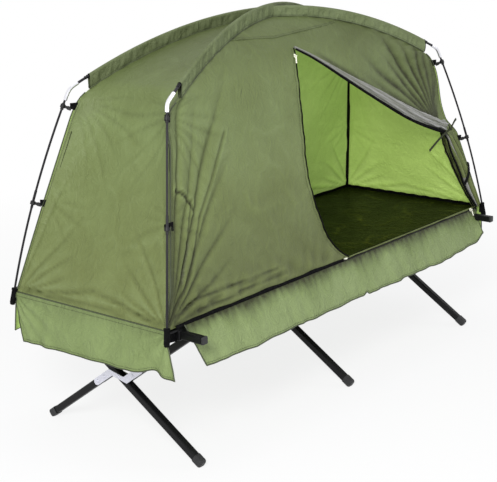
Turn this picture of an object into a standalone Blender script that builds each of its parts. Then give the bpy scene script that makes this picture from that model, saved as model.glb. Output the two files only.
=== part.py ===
"""Folding one-person tent cot: scissor-leg camp bed with a pole-framed tent on its end bars.

Metres, +Z up. The length runs along X, the door side faces -Y, and the origin lies on the floor
under the middle of the bed.
"""

import math

import bmesh
import bpy
from mathutils import Matrix, Vector

# Bed frame
TUBE = 0.024
TUBE_WALL = 0.0012
TUBE_CORNER = 0.004
RAIL_HALF_LENGTH = 0.865
RAIL_Y = 0.312
RAIL_Z = 0.4565
BAR_LEAD = 0.010
BAR_X = RAIL_HALF_LENGTH + BAR_LEAD
BAR_Z = 0.450
BAR_OVERHANG = 0.100
BAR_HALF_LENGTH = RAIL_Y + BAR_OVERHANG
BAR_PLUG_HEAD = 0.010
BAR_PLUG_TONGUE = 0.020
SOCKET_WALL = 0.004
SOCKET_HALF_WIDTH = 0.020
LEG_INSET = 0.049
LEG_STATION = RAIL_HALF_LENGTH - LEG_INSET
LEG_STATIONS = (("left", -LEG_STATION), ("middle", 0.0), ("right", LEG_STATION))

# Scissor legs, drawn in the Y-Z plane
PIVOT_Z = 0.425
FOOT_LEAD = 0.022
FOOT_Y = RAIL_Y + FOOT_LEAD
FOOT_AXIS_Z = 0.0135
LEG_OVERHANG = 0.012
HALF_OFFSET = 0.0215
HALF_START = 0.045
RIVET_RADIUS = 0.003
RIVET_HEAD_RADIUS = 0.0062
RIVET_HEAD = 0.0014
RUNNING_GAP = 0.00008
PLATE = 0.0024
PLATE_GAP = 0.0006
PLATE_ARM = 0.118
PLATE_ROOT = 0.024
CHEEK_HALF_WIDTH = 0.013
CHEEK_DROP = 0.012
CAP_WALL = 0.0017
CAP_LENGTH = 0.034
CAP_SOLE = 0.010
CAP_CORNER = 0.0062

# Tent base, pole line and corner seam of the canopy
BASE_END_LEAD = 0.068
BASE_SIDE_LEAD = 0.019
BASE_X = BAR_X + BASE_END_LEAD
BASE_Y = RAIL_Y + BASE_SIDE_LEAD
SEAM_Z = 0.480
PEAK_Z = 1.345
TENT_HEIGHT = PEAK_Z - SEAM_Z
CLOTH = 0.0024
PANEL_INSET = 0.004
MID_CLIP_INSET = (0.086, 0.066)
MID_CLIP_HEIGHT_SHARE = 0.346821
MID_CLIP_Z = SEAM_Z + TENT_HEIGHT * MID_CLIP_HEIGHT_SHARE
MID_CLIP_SEAM = (BASE_X - MID_CLIP_INSET[0], BASE_Y - MID_CLIP_INSET[1], MID_CLIP_Z)
EAVE_INSET = (0.178, 0.135)
EAVE_HEIGHT_SHARE = 0.699422
EAVE_Z = SEAM_Z + TENT_HEIGHT * EAVE_HEIGHT_SHARE
EAVE_SEAM = (BASE_X - EAVE_INSET[0], BASE_Y - EAVE_INSET[1], EAVE_Z)
POLE_RADIUS = 0.0045
POLE_FOOT_LEAD = (0.012, 0.010)
POLE_FOOT_Z = 0.446
POLE_FOOT = (BASE_X + POLE_FOOT_LEAD[0], BASE_Y + POLE_FOOT_LEAD[1], POLE_FOOT_Z)
POLE_TOP_LEAD = (0.022, 0.023, 0.010)
POLE_TOP = tuple(seam + lead for seam, lead in zip(EAVE_SEAM, POLE_TOP_LEAD))
POLE_BOW = 0.018
ARC_LEAD = (0.015, 0.021)
ARC_SPAN_X = EAVE_SEAM[0] + ARC_LEAD[0]
ARC_SPAN_Y = EAVE_SEAM[1] + ARC_LEAD[1]
ARC_DROP_SHARE = 0.853846
ARC_DROP = (PEAK_Z - EAVE_Z) * ARC_DROP_SHARE
ARC_END_SHARE = 0.95
ARC_CROSS_GAP = 0.0105
ELBOW_RADIUS = 0.0064
ELBOW_BORE = 0.0053
ELBOW_LEAD = 0.014
POLE_INSERT = 0.012
SLEEVE_DROP = 0.042
SLEEVE_HALF_WIDTH = 0.0068
SLEEVE_CLOTH = 0.0012
SLEEVE_START_SHARE = 0.05
SLEEVE_END_SHARE = 0.90
ROOF_LINE_SHARE = 0.66
END_LINE_SHARE = 0.84
SEAT_GAP = 0.0004

# Skirts, floor and bed
SKIRT_BAR_GAP = 0.017
SKIRT_SIDE_HALF_LENGTH = BAR_X - SKIRT_BAR_GAP
SKIRT_BOTTOM_Z = 0.350
SKIRT_SIDE_FLARE = 0.056
SKIRT_END_FLARE = 0.034
SKIRT_CORNER_SPREAD = 0.060
SKIRT_WAVE_SHARE = 0.12
FLOOR_CLOTH = 0.004
SLING_CLOTH = 0.0024
SLING_LIP = 0.022
SLING_END_LEAD = 0.050
SLING_HALF_LENGTH = BAR_X + SLING_END_LEAD
POCKET_WALL = 0.003
POCKET_SOLE = 0.010
POCKET_DEPTH = 0.046
POCKET_TAB = 0.003

# Clips between the poles and the corner seams
CLIP_RING_RADIUS = 0.0082
CLIP_HEIGHT = 0.011
CLIP_NECK = 0.0085
CLIP_BODY_LENGTH = 0.020
CLIP_BODY_WIDTH = 0.012
MID_CLIP_SHARE = 0.5
TOP_CLIP_SHARE = 0.972

# Door in the near panel: places along the bed as shares of the base, and heights as shares of the tent's
DOOR_LEFT_SHARES = (
    (-0.015, 0.02312),
    (-0.074, 0.09249),
    (-0.124, 0.18497),
    (-0.141, 0.28902),
    (-0.144, 0.39306),
    (-0.066, 0.82659),
)
DOOR_RIGHT_SHARES = (
    (0.138, 0.70520),
    (0.318, 0.59884),
    (0.477, 0.50867),
    (0.636, 0.44162),
    (0.755, 0.40462),
    (0.766, 0.30636),
    (0.838, 0.13873),
    (0.914, 0.02312),
)
DOOR_LEFT = tuple((BASE_X * along, SEAM_Z + TENT_HEIGHT * up) for along, up in DOOR_LEFT_SHARES)
DOOR_RIGHT = tuple((BASE_X * along, SEAM_Z + TENT_HEIGHT * up) for along, up in DOOR_RIGHT_SHARES)
ROLL_THIN = 0.005
ROLL_THICK = 0.017
ROLL_TAIL = 0.007

# Zip sliders and their pulls
SLIDER = (0.011, 0.0055, 0.013)
SLIDER_GAP = 0.0006
PULL = (0.006, 0.0016, 0.026)
PULL_PIN_RADIUS = 0.0009
PULL_EYE_WALL = 0.0007
ZIP_LIFT = 0.0042
ZIP_TRACK_WIDTH = 0.005
BOTTOM_SLIDER_INSET = 0.012
BOTTOM_SLIDER_X = DOOR_RIGHT[-1][0] - BOTTOM_SLIDER_INSET

TUBE_COLOUR = (0.018, 0.018, 0.020)
PLUG_COLOUR = (0.060, 0.062, 0.066)
SILVER = (0.72, 0.72, 0.76)
POLE_COLOUR = (0.055, 0.052, 0.058)
CLOTH_GREEN = (0.150, 0.200, 0.075)
SKIRT_GREEN = (0.190, 0.260, 0.095)
DARK_OLIVE = (0.060, 0.075, 0.018)
BLACK_CLOTH = (0.010, 0.010, 0.011)
ZIP_WHITE = (0.80, 0.80, 0.74)

TUBE_CORNER_STEPS = 2
ROOF_STEPS = 12
RIVET_SIDES = 10
SIDE_COLUMN_SHARES = (-1.0, -0.91, -0.72, -0.5, -0.25, 0.0, 0.25, 0.5, 0.72, 0.91, 1.0)
END_COLUMN_SHARES = (-1.0, -0.62, -0.24, 0.24, 0.62, 1.0)
QUADRANTS = (
    ("near_left", -1, -1),
    ("far_right", 1, 1),
    ("far_left", -1, 1),
    ("near_right", 1, -1),
)


def clear_scene():
    for item in list(bpy.data.objects):
        bpy.data.objects.remove(item, do_unlink=True)


def new_collection(name):
    made = bpy.data.collections.new(name)
    bpy.context.scene.collection.children.link(made)
    return made


def material(name, colour, roughness, metallic=0.0):
    made = bpy.data.materials.new(name)
    made.use_nodes = True
    shader = made.node_tree.nodes["Principled BSDF"]
    shader.inputs["Base Color"].default_value = (*colour, 1.0)
    shader.inputs["Roughness"].default_value = roughness
    shader.inputs["Metallic"].default_value = metallic
    return made


def mesh_object(name, bm, finish=None, helper=False):
    """A new object from a bmesh, in the part's collection or, for a helper, among the cutters."""
    data = bpy.data.meshes.new(name)
    bm.to_mesh(data)
    bm.free()
    return data_object(name, data, finish, helper)


def data_object(name, data, finish=None, helper=False):
    made = bpy.data.objects.new(name, data)
    (CUTTERS if helper else PART).objects.link(made)
    if helper:
        made.hide_render = True
        made.display_type = "WIRE"
    if finish and not data.materials:
        data.materials.append(finish)
    return made


def joined(target, other, operation):
    """One exact Boolean, applied, so that the target holds a plain mesh."""
    modifier = target.modifiers.new("cut", "BOOLEAN")
    modifier.operation = operation
    modifier.object = other
    modifier.solver = "EXACT"
    bpy.context.view_layer.update()
    graph = bpy.context.evaluated_depsgraph_get()
    data = bpy.data.meshes.new_from_object(target.evaluated_get(graph))
    target.modifiers.clear()
    target.data = data
    return target


def drop(item):
    bpy.data.objects.remove(item, do_unlink=True)


def cut(target, *cutters):
    for cutter in cutters:
        joined(target, cutter, "DIFFERENCE")
        drop(cutter)
    return target


def fuse(target, *others):
    for other in others:
        joined(target, other, "UNION")
        drop(other)
    return target


def shade(item, angle=math.radians(40)):
    item.data.shade_smooth()
    item.data.set_sharp_from_angle(angle=angle)
    return item


def box(name, low, high, finish=None, helper=False, bevel=0.0):
    bm = bmesh.new()
    bmesh.ops.create_cube(bm, size=1.0)
    middle = (Vector(low) + Vector(high)) / 2
    size = Vector(high) - Vector(low)
    placed = Matrix.Translation(middle) @ Matrix.Diagonal((*size, 1.0))
    bmesh.ops.transform(bm, matrix=placed, verts=bm.verts)
    if bevel:
        bmesh.ops.bevel(bm, geom=list(bm.edges), offset=bevel, segments=1, profile=0.5, affect="EDGES")
    return mesh_object(name, bm, finish, helper)


def rod(name, start, end, radius, sides=12, finish=None, helper=False):
    """A cylinder between two points."""
    start = Vector(start)
    along = Vector(end) - start
    turn = along.to_track_quat("Z", "Y").to_matrix().to_4x4()
    place = Matrix.Translation(start + along / 2) @ turn
    bm = bmesh.new()
    bmesh.ops.create_cone(
        bm, cap_ends=True, segments=sides, radius1=radius, radius2=radius, depth=along.length, matrix=place
    )
    return mesh_object(name, bm, finish, helper)


def rounded_square(half, corner):
    """Outline of a square tube, as (across, up) pairs, turning left."""
    points = []
    for quarter in range(4):
        middle = math.radians(45 + 90 * quarter)
        centre = (half - corner) * math.sqrt(2)
        for step in range(TUBE_CORNER_STEPS + 1):
            turn = math.radians(90 * quarter + 90 * step / TUBE_CORNER_STEPS)
            across = centre * math.cos(middle) + corner * math.cos(turn)
            up = centre * math.sin(middle) + corner * math.sin(turn)
            points.append((across, up))
    return points


def loft(rings, closed_ends):
    """Rings of equally many points, joined in turn by quads."""
    bm = bmesh.new()
    rows = [[bm.verts.new(point) for point in ring] for ring in rings]
    count = len(rows[0])
    for low, high in zip(rows, rows[1:]):
        for i in range(count):
            j = (i + 1) % count
            bm.faces.new((low[i], low[j], high[j], high[i]))
    if closed_ends:
        bm.faces.new(list(reversed(rows[0])))
        bm.faces.new(rows[-1])
    return bm


def square_tube(name, start, end, finish, half=TUBE / 2, wall=TUBE_WALL):
    """A hollow square tube with open ends, one pair of sides facing X or, for a cross bar, Z."""
    start = Vector(start)
    along = (Vector(end) - start).normalized()
    side = Vector((1, 0, 0)) if abs(along.x) < abs(along.y) + abs(along.z) else Vector((0, 1, 0))
    up = along.cross(side)
    rings = []
    for place in (start, Vector(end)):
        rings.append([place + side * a + up * b for a, b in rounded_square(half, TUBE_CORNER)])
    made = mesh_object(name, loft(rings, False), finish)
    wall_maker = made.modifiers.new("wall", "SOLIDIFY")
    wall_maker.thickness = wall
    wall_maker.offset = -1.0
    bpy.context.view_layer.update()
    graph = bpy.context.evaluated_depsgraph_get()
    data = bpy.data.meshes.new_from_object(made.evaluated_get(graph))
    made.modifiers.clear()
    made.data = data
    return shade(made)


def wire(name, points, radius, finish, resolution=2):
    """A round rod along a polyline, as a closed mesh."""
    curve = bpy.data.curves.new(name, "CURVE")
    curve.dimensions = "3D"
    curve.bevel_depth = radius
    curve.bevel_resolution = resolution
    curve.use_fill_caps = True
    spline = curve.splines.new("POLY")
    spline.points.add(len(points) - 1)
    for target, point in zip(spline.points, points):
        target.co = (*point[:3], 1.0)
        target.radius = point[3] if len(point) > 3 else 1.0
    guide = bpy.data.objects.new(name + "_guide", curve)
    PART.objects.link(guide)
    bpy.context.view_layer.update()
    graph = bpy.context.evaluated_depsgraph_get()
    data = bpy.data.meshes.new_from_object(guide.evaluated_get(graph))
    drop(guide)
    bm = bmesh.new()
    bm.from_mesh(data)
    bmesh.ops.remove_doubles(bm, verts=bm.verts, dist=1e-5)
    bmesh.ops.recalc_face_normals(bm, faces=bm.faces)
    return shade(mesh_object(name, bm, finish))


# Bed frame


def leg_angle():
    return math.atan2(PIVOT_Z - FOOT_AXIS_Z, RAIL_Y + FOOT_Y)


def cross_point():
    """The middle rivet of a leg pair, in (y, z)."""
    return Vector((0.0, PIVOT_Z - RAIL_Y * math.tan(leg_angle())))


def broken_leg_frame():
    """Directions along the broken leg, foot to rail, and square to it, upwards, in (y, z)."""
    angle = leg_angle()
    return Vector((-math.cos(angle), math.sin(angle))), Vector((math.sin(angle), math.cos(angle)))


def half_ends():
    """(upper half start, upper pivot, lower half start, foot), in (y, z)."""
    along, up = broken_leg_frame()
    middle = cross_point()
    upper = middle + along * HALF_START - up * HALF_OFFSET
    lower = middle - along * HALF_START + up * HALF_OFFSET
    return upper, Vector((-RAIL_Y, PIVOT_Z)), lower, Vector((FOOT_Y, FOOT_AXIS_Z))


def bore_radius(shaft, sides):
    """Radius of a faceted bore whose flats clear a shaft by the running gap."""
    return (shaft + RUNNING_GAP) / math.cos(math.pi / sides)


def rivet_cutter(x, place):
    reach = TUBE
    radius = bore_radius(RIVET_RADIUS, RIVET_SIDES)
    return rod("rivet_cutter", (x - reach, *place), (x + reach, *place), radius, RIVET_SIDES, helper=True)


def plate_rivets():
    """Places of the rivets that hold the two halves of the broken leg, in (y, z)."""
    upper, pivot, lower, foot = half_ends()
    places = []
    for start, end in ((upper, pivot), (lower, foot)):
        along = (end - start).normalized()
        free = PLATE_ARM - HALF_START
        places += [start + along * free * share for share in (0.25, 0.78)]
    return places


def rail(side, finish):
    """One side rail, with the sockets of the end bars and the ears that carry the legs."""
    name = "near_rail" if side < 0 else "far_rail"
    y = side * RAIL_Y
    made = square_tube(name, (-RAIL_HALF_LENGTH, y, RAIL_Z), (RAIL_HALF_LENGTH, y, RAIL_Z), finish)
    pieces = []
    outer = TUBE / 2 + SOCKET_WALL
    for end in (-1, 1):
        low = (end * BAR_X - outer, y - SOCKET_HALF_WIDTH, BAR_Z - outer)
        high = (end * BAR_X + outer, y + SOCKET_HALF_WIDTH, BAR_Z + outer)
        pieces.append(box("socket", low, high, bevel=SOCKET_WALL / 2))
    rail_bottom = RAIL_Z - TUBE / 2
    inner = TUBE / 2 + PLATE_GAP
    for _, x in LEG_STATIONS:
        for face in (-1, 1):
            near, away = x + face * inner, x + face * (inner + PLATE)
            low = (min(near, away), y - CHEEK_HALF_WIDTH, PIVOT_Z - CHEEK_DROP)
            high = (max(near, away), y + CHEEK_HALF_WIDTH, rail_bottom + TUBE_WALL / 2)
            pieces.append(box("ear", low, high))
        reach = inner + PLATE
        place = (y, PIVOT_Z)
        end = reach + RIVET_HEAD
        pin = reach + RIVET_HEAD / 2
        pieces.append(rod("pin", (x - pin, *place), (x + pin, *place), RIVET_RADIUS, RIVET_SIDES))
        for face in (-1, 1):
            start = x + face * (reach - PLATE / 4)
            tip = (x + face * end, *place)
            pieces.append(rod("head", (start, *place), tip, RIVET_HEAD_RADIUS, RIVET_SIDES))
        # A cross strip closes the ears against the underside of the rail
        low = (x - reach, y - CHEEK_HALF_WIDTH, rail_bottom - TUBE_WALL)
        high = (x + reach, y + CHEEK_HALF_WIDTH, rail_bottom + TUBE_WALL / 2)
        pieces.append(box("ear_top", low, high))
    fuse(made, *pieces)
    bore = TUBE / 2 + SEAT_GAP
    for end in (-1, 1):
        low = (end * BAR_X - bore, y - TUBE, BAR_Z - bore)
        high = (end * BAR_X + bore, y + TUBE, BAR_Z + bore)
        cut(made, box("bar_bore", low, high, helper=True))
    return made


def end_bar(label, end, finish, plug_finish):
    """A spreader bar through both rails' sockets, with a plug in each end."""
    x = end * BAR_X
    made = square_tube("end_bar_" + label, (x, -BAR_HALF_LENGTH, BAR_Z), (x, BAR_HALF_LENGTH, BAR_Z), finish)
    plugs = []
    bore = TUBE / 2 - TUBE_WALL - SEAT_GAP
    for side_label, side in (("near", -1), ("far", 1)):
        face = side * (BAR_HALF_LENGTH + SEAT_GAP)
        tip = side * (BAR_HALF_LENGTH + BAR_PLUG_HEAD)
        tongue = side * (BAR_HALF_LENGTH - BAR_PLUG_TONGUE)
        low = (x - TUBE / 2, min(face, tip), BAR_Z - TUBE / 2)
        high = (x + TUBE / 2, max(face, tip), BAR_Z + TUBE / 2)
        plug = box(f"bar_plug_{side_label}_{label}", low, high, plug_finish, bevel=BAR_PLUG_HEAD / 4)
        half = bore - TUBE_CORNER / 4
        inner_face = face + side * BAR_PLUG_HEAD / 2
        low = (x - half, min(tongue, inner_face), BAR_Z - half)
        high = (x + half, max(tongue, inner_face), BAR_Z + half)
        plugs.append(fuse(plug, box("tongue", low, high)))
    return made, plugs


def straight_leg(label, x, finish):
    pivot = Vector((RAIL_Y, PIVOT_Z))
    foot = Vector((-FOOT_Y, FOOT_AXIS_Z))
    along = (foot - pivot).normalized()
    start = pivot - along * LEG_OVERHANG
    made = square_tube("straight_leg_" + label, (x, *start), (x, *foot), finish)
    return cut(made, rivet_cutter(x, pivot), rivet_cutter(x, cross_point()))


def half_leg(name, x, start, end, overhang, rivets, finish):
    along = (end - start).normalized()
    made = square_tube(name, (x, *start), (x, *(end + along * overhang)), finish)
    return cut(made, *[rivet_cutter(x, place) for place in rivets])


def plate_outline():
    """S-shaped plate that carries both halves of the broken leg past the straight one, in (y, z)."""
    upper, pivot, lower, foot = half_ends()
    half = TUBE / 2
    points = []
    for start, end in ((upper, pivot), (lower, foot)):
        along = (end - start).normalized()
        left = Vector((-along.y, along.x))
        root = start - along * (HALF_START - PLATE_ROOT)
        tip = start + along * (PLATE_ARM - HALF_START - half)
        points.append(root - left * half)
        for step in range(7):
            turn = math.radians(-90 + 30 * step)
            points.append(tip + along * half * math.cos(turn) + left * half * math.sin(turn))
        points.append(root + left * half)
    return points


def cross_bracket(label, x, finish):
    """Two S plates, one on each side of the leg tubes, joined by the rivets."""
    outline = plate_outline()
    inner = TUBE / 2 + PLATE_GAP
    pieces = []
    for face in (-1, 1):
        rings = [[(x + face * depth, *point) for point in outline] for depth in (inner, inner + PLATE)]
        bm = loft(rings, True)
        bmesh.ops.recalc_face_normals(bm, faces=bm.faces)
        pieces.append(mesh_object("plate", bm, finish))
    made = pieces[0]
    made.name = "cross_bracket_" + label
    reach = inner + PLATE
    for place in (*plate_rivets(), cross_point()):
        end = reach + RIVET_HEAD
        pin = reach + RIVET_HEAD / 2
        pieces.append(rod("rivet", (x - pin, *place), (x + pin, *place), RIVET_RADIUS, RIVET_SIDES))
        for face in (-1, 1):
            start = x + face * (reach - PLATE / 4)
            tip = (x + face * end, *place)
            pieces.append(rod("head", (start, *place), tip, RIVET_HEAD_RADIUS, RIVET_SIDES))
    return shade(fuse(made, *pieces[1:]))


def foot_cap(name, x, start, end, finish):
    """A moulded shoe over the end of a leg, cut level with the floor."""
    along = (end - start).normalized()
    side = Vector((1, 0, 0))
    direction = Vector((0, *along))
    up = direction.cross(side)
    tip = Vector((x, *end))
    half = TUBE / 2 + SEAT_GAP + CAP_WALL
    # Distance from the tube's end and share of the full width at each ring
    stations = (
        (-(CAP_LENGTH - CAP_SOLE), 1.0),
        (CAP_SOLE * 0.3, 1.0),
        (CAP_SOLE * 0.75, 0.90),
        (CAP_SOLE, 0.72),
    )
    rings = []
    for distance, width_share in stations:
        centre = tip + direction * distance
        ring = rounded_square(half * width_share, CAP_CORNER * width_share)
        rings.append([centre + side * a + up * b for a, b in ring])
    bm = loft(rings, True)
    bmesh.ops.recalc_face_normals(bm, faces=bm.faces)
    made = mesh_object(name, bm, finish)
    bore = TUBE / 2 + SEAT_GAP
    rings = []
    for distance in (-2 * CAP_LENGTH, SEAT_GAP):
        centre = tip + direction * distance
        rings.append([centre + side * a + up * b for a, b in rounded_square(bore, TUBE_CORNER)])
    bm = loft(rings, True)
    bmesh.ops.recalc_face_normals(bm, faces=bm.faces)
    cavity = mesh_object("cavity", bm, helper=True)
    reach = 2 * CAP_LENGTH
    floor = box("floor", (x - reach, end.x - reach, -reach), (x + reach, end.x + reach, 0.0), helper=True)
    return shade(cut(made, cavity, floor))


# Poles


def arc_point(share, lowered=0.0):
    """A point of the roof pole: share 0 at the peak, 1 where the span ends, in the +X +Y quarter."""
    drop_all = ARC_DROP - lowered / ARC_END_SHARE**2
    z = PEAK_Z - lowered - drop_all * share * share
    return Vector((ARC_SPAN_X * share, ARC_SPAN_Y * share, z))


def lower_pole_point(share):
    """A point of the bowed lower pole: share 0 at its foot, 1 at the elbow."""
    foot, top = Vector(POLE_FOOT), Vector(POLE_TOP)
    outward = Vector((1, 1, 0)).normalized()
    return foot.lerp(top, share) + outward * POLE_BOW * 4 * share * (1 - share)


def elbow_path(lowered):
    """Centre line of the metal elbow, from the roof pole's end to the lower pole's top."""
    start = arc_point(ARC_END_SHARE, lowered)
    start_along = (start - arc_point(ARC_END_SHARE - 0.02, lowered)).normalized()
    end = lower_pole_point(1.0)
    end_along = (end - lower_pole_point(0.98)).normalized()
    first = start + start_along * ELBOW_LEAD
    last = end + end_along * ELBOW_LEAD
    reach = (last - first).length * 0.4
    path = [start]
    for step in range(5):
        t = step / 4
        a, b, c, d = first, first + start_along * reach, last + end_along * reach, last
        path.append(a * (1 - t) ** 3 + b * 3 * t * (1 - t) ** 2 + c * 3 * t * t * (1 - t) + d * t**3)
    path.append(end)
    return path


def mirrored(item, name, sx, sy):
    """A copy of a piece of the +X +Y quarter in another quarter, sharing its mesh."""
    made = data_object(name, item.data)
    made.matrix_world = Matrix.Diagonal((sx, sy, 1.0, 1.0)) @ item.matrix_world
    return made


def arc_pole(name, side, lowered, finish):
    """The roof pole of one diagonal, elbow to elbow. side is the sign of y at +X."""
    points = []
    shares = [ARC_END_SHARE * step / (ROOF_STEPS + 1) for step in range(ROOF_STEPS + 2)]
    shares = [-share for share in reversed(shares[1:])] + shares
    for share in shares:
        place = arc_point(abs(share), lowered)
        sign = 1 if share >= 0 else -1
        points.append(Vector((sign * place.x, sign * side * place.y, place.z)))
    for end in (0, -1):
        near = points[1] if end == 0 else points[-2]
        along = (points[end] - near).normalized()
        points[end] = points[end] + along * POLE_INSERT
    return wire(name, points, POLE_RADIUS, finish)


def lower_pole(finish):
    shares = [step / 8 for step in range(9)]
    points = [lower_pole_point(share) for share in shares]
    along = (points[-1] - lower_pole_point(0.98)).normalized()
    return wire("lower_pole", [*points, points[-1] + along * POLE_INSERT], POLE_RADIUS, finish)


def elbow(name, lowered, finish):
    path = elbow_path(lowered)
    made = wire(name, path, ELBOW_RADIUS, finish)
    first = path[0] + (path[0] - path[1]).normalized() * ELBOW_LEAD
    last = path[-1] + (path[-1] - path[-2]).normalized() * ELBOW_LEAD
    bore = wire(name + "_bore", [first, *path, last], ELBOW_BORE, finish)
    return shade(cut(made, bore))


def clip(name, share, seam, finish):
    """A hook round the lower pole with a tab that reaches the canopy's corner seam."""
    centre = lower_pole_point(share)
    along = (lower_pole_point(share + 0.01) - lower_pole_point(share - 0.01)).normalized()
    reach = Vector(seam) - centre
    inward = (reach - along * reach.dot(along)).normalized()
    side = along.cross(inward)
    frame = Matrix((inward, side, along)).transposed().to_4x4()
    frame.translation = centre
    half = CLIP_HEIGHT / 2
    made = rod(name, (0, 0, -half), (0, 0, half), CLIP_RING_RADIUS, finish=finish)
    neck = CLIP_NECK / 2
    end = CLIP_RING_RADIUS + CLIP_BODY_LENGTH
    body = box("body", (CLIP_RING_RADIUS * 0.7, -neck / 2, -half * 0.8), (end, neck / 2, half * 0.8))
    wide = CLIP_BODY_WIDTH / 2
    start = CLIP_RING_RADIUS + CLIP_BODY_LENGTH * 0.3
    buckle = box("buckle", (start, -neck * 0.8, -wide), (end - SEAT_GAP, neck * 0.8, wide), bevel=neck / 4)
    fuse(made, body, buckle)
    bore_radius = POLE_RADIUS + SEAT_GAP + (ELBOW_BORE - POLE_RADIUS) / 2
    cut(made, rod("pole_bore", (0, 0, -CLIP_HEIGHT), (0, 0, CLIP_HEIGHT), bore_radius, helper=True))
    made.data.transform(frame)
    return shade(made)


# Canopy


def corner_levels():
    """Points up a corner seam and along the roof seam, base to peak, in the +X +Y quarter."""
    base = Vector((BASE_X, BASE_Y, SEAM_Z))
    clip_seam, eave = Vector(MID_CLIP_SEAM), Vector(EAVE_SEAM)
    levels = [base, base.lerp(clip_seam, 0.5), clip_seam, clip_seam.lerp(eave, 0.5), eave]
    for step in range(ROOF_STEPS + 1):
        share = SLEEVE_END_SHARE + (SLEEVE_START_SHARE - SLEEVE_END_SHARE) * step / ROOF_STEPS
        levels.append(arc_point(share) - Vector((0, 0, SLEEVE_DROP)))
    return levels


def straight_line_width(z, axis, line_share):
    """Half width of a panel's middle at a height: straight from the base to a point of the roof seam."""
    base = (BASE_X, BASE_Y)[axis]
    top = arc_point(line_share) - Vector((0, 0, SLEEVE_DROP))
    part = (z - SEAM_Z) / (top.z - SEAM_Z)
    return base + (top[axis] - base) * part, part


def panel_width(level, axis, share, line_share):
    """Distance of a panel from the middle plane: taut between the seams, drawn in at mid panel."""
    line, part = straight_line_width(level.z, axis, line_share)
    corner = level[axis]
    if part >= 1.0 or line >= corner:
        return corner
    return line + (corner - line) * abs(share) ** 3


def panel(name, axis, sign, finish):
    """One wall of the canopy with its skirt. axis 1 is a long side, axis 0 an end."""
    column_shares = SIDE_COLUMN_SHARES if axis else END_COLUMN_SHARES
    line_share = ROOF_LINE_SHARE if axis else END_LINE_SHARE
    flare = SKIRT_SIDE_FLARE if axis else SKIRT_END_FLARE
    # The left end's skirt hangs out at its near corner and in at its far one
    spread = 0.0 if axis or sign > 0 else SKIRT_CORNER_SPREAD
    skirt_limit = SKIRT_SIDE_HALF_LENGTH if axis else BASE_Y
    levels = corner_levels()
    bm = bmesh.new()

    def vertex(along, out, z):
        return bm.verts.new((along, sign * out, z) if axis else (sign * out, along, z))

    rows = []
    for level in levels:
        half = level[1 - axis] - PANEL_INSET
        row = []
        for share in column_shares:
            out = panel_width(level, axis, share, line_share)
            row.append(vertex(half * share, out, level.z))
        rows.append(row)
    for low, high in zip(rows, rows[1:]):
        for i in range(len(column_shares) - 1):
            bm.faces.new((low[i], low[i + 1], high[i + 1], high[i]))
    base_half = levels[0][1 - axis] - PANEL_INSET
    base_out = levels[0][axis]
    above = rows[0]
    for step in range(1, 4):
        fall = step / 3
        row = []
        for i, share in enumerate(column_shares):
            wave = 1 + SKIRT_WAVE_SHARE * math.cos(4 * math.pi * share) * fall
            out = base_out + flare * fall**0.8 * wave
            along = base_half * share + spread * fall * (share if share < 0 else -share)
            row.append(vertex(along, out, SEAM_Z + (SKIRT_BOTTOM_Z - SEAM_Z) * fall))
        for i in range(len(column_shares) - 1):
            inside = max(abs(column_shares[i]), abs(column_shares[i + 1])) * base_half <= skirt_limit
            if inside:
                bm.faces.new((row[i], row[i + 1], above[i + 1], above[i]))
        above = row
    loose = [vert for vert in bm.verts if not vert.link_faces]
    bmesh.ops.delete(bm, geom=loose, context="VERTS")
    wanted = Vector((0, sign, 0)) if axis else Vector((sign, 0, 0))
    bm.normal_update()
    bm.faces.ensure_lookup_table()
    if bm.faces[0].normal.dot(wanted) < 0:
        bmesh.ops.reverse_faces(bm, faces=bm.faces)
    made = mesh_object(name, bm, finish)
    wall = made.modifiers.new("cloth", "SOLIDIFY")
    wall.thickness = CLOTH
    wall.offset = -1.0
    bpy.context.view_layer.update()
    graph = bpy.context.evaluated_depsgraph_get()
    data = bpy.data.meshes.new_from_object(made.evaluated_get(graph))
    made.modifiers.clear()
    made.data = data
    return shade(made)


def pocket_point(sign, side, distance):
    """A point on the axis of a pole's pocket, measured up from the pole's foot."""
    foot = lower_pole_point(0.0)
    along = (lower_pole_point(0.1) - foot).normalized()
    x, y, z = foot + along * distance
    return Vector((sign * x, side * y, z))


def pocket_bore():
    return POLE_RADIUS + 3 * SEAT_GAP


def corner_pocket(sign, side):
    """Webbing cup for a pole's foot, with the tab that sews it to the corner of an end panel."""
    low = pocket_point(sign, side, -POCKET_SOLE)
    high = pocket_point(sign, side, POCKET_DEPTH)
    cup = rod("pocket", low, high, pocket_bore() + POCKET_WALL)
    seam = Vector((sign * (BASE_X - CLOTH / 2), side * (BASE_Y - PANEL_INSET - POCKET_TAB)))
    rings = []
    for share in (0.2, 0.8):
        x, y, z = low.lerp(high, share)
        along = Vector((x, y)) - seam
        across = Vector((-along.y, along.x)).normalized() * POCKET_TAB / 2
        ring = (seam - across, seam + across, Vector((x, y)) + across, Vector((x, y)) - across)
        rings.append([(*point, z) for point in ring])
    bm = loft(rings, True)
    bmesh.ops.recalc_face_normals(bm, faces=bm.faces)
    return cup, mesh_object("tab", bm)


def end_panel(name, sign, finish):
    made = panel(name, 0, sign, finish)
    for side in (-1, 1):
        fuse(made, *corner_pocket(sign, side))
        start = pocket_point(sign, side, -SEAT_GAP)
        end = pocket_point(sign, side, POCKET_DEPTH + POCKET_WALL)
        cut(made, rod("pole_bore", start, end, pocket_bore(), helper=True))
    return shade(made)


def door_outline():
    """The opening, as (x, z) pairs."""
    return [Vector(point) for point in (*DOOR_LEFT, *DOOR_RIGHT)]


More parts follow.
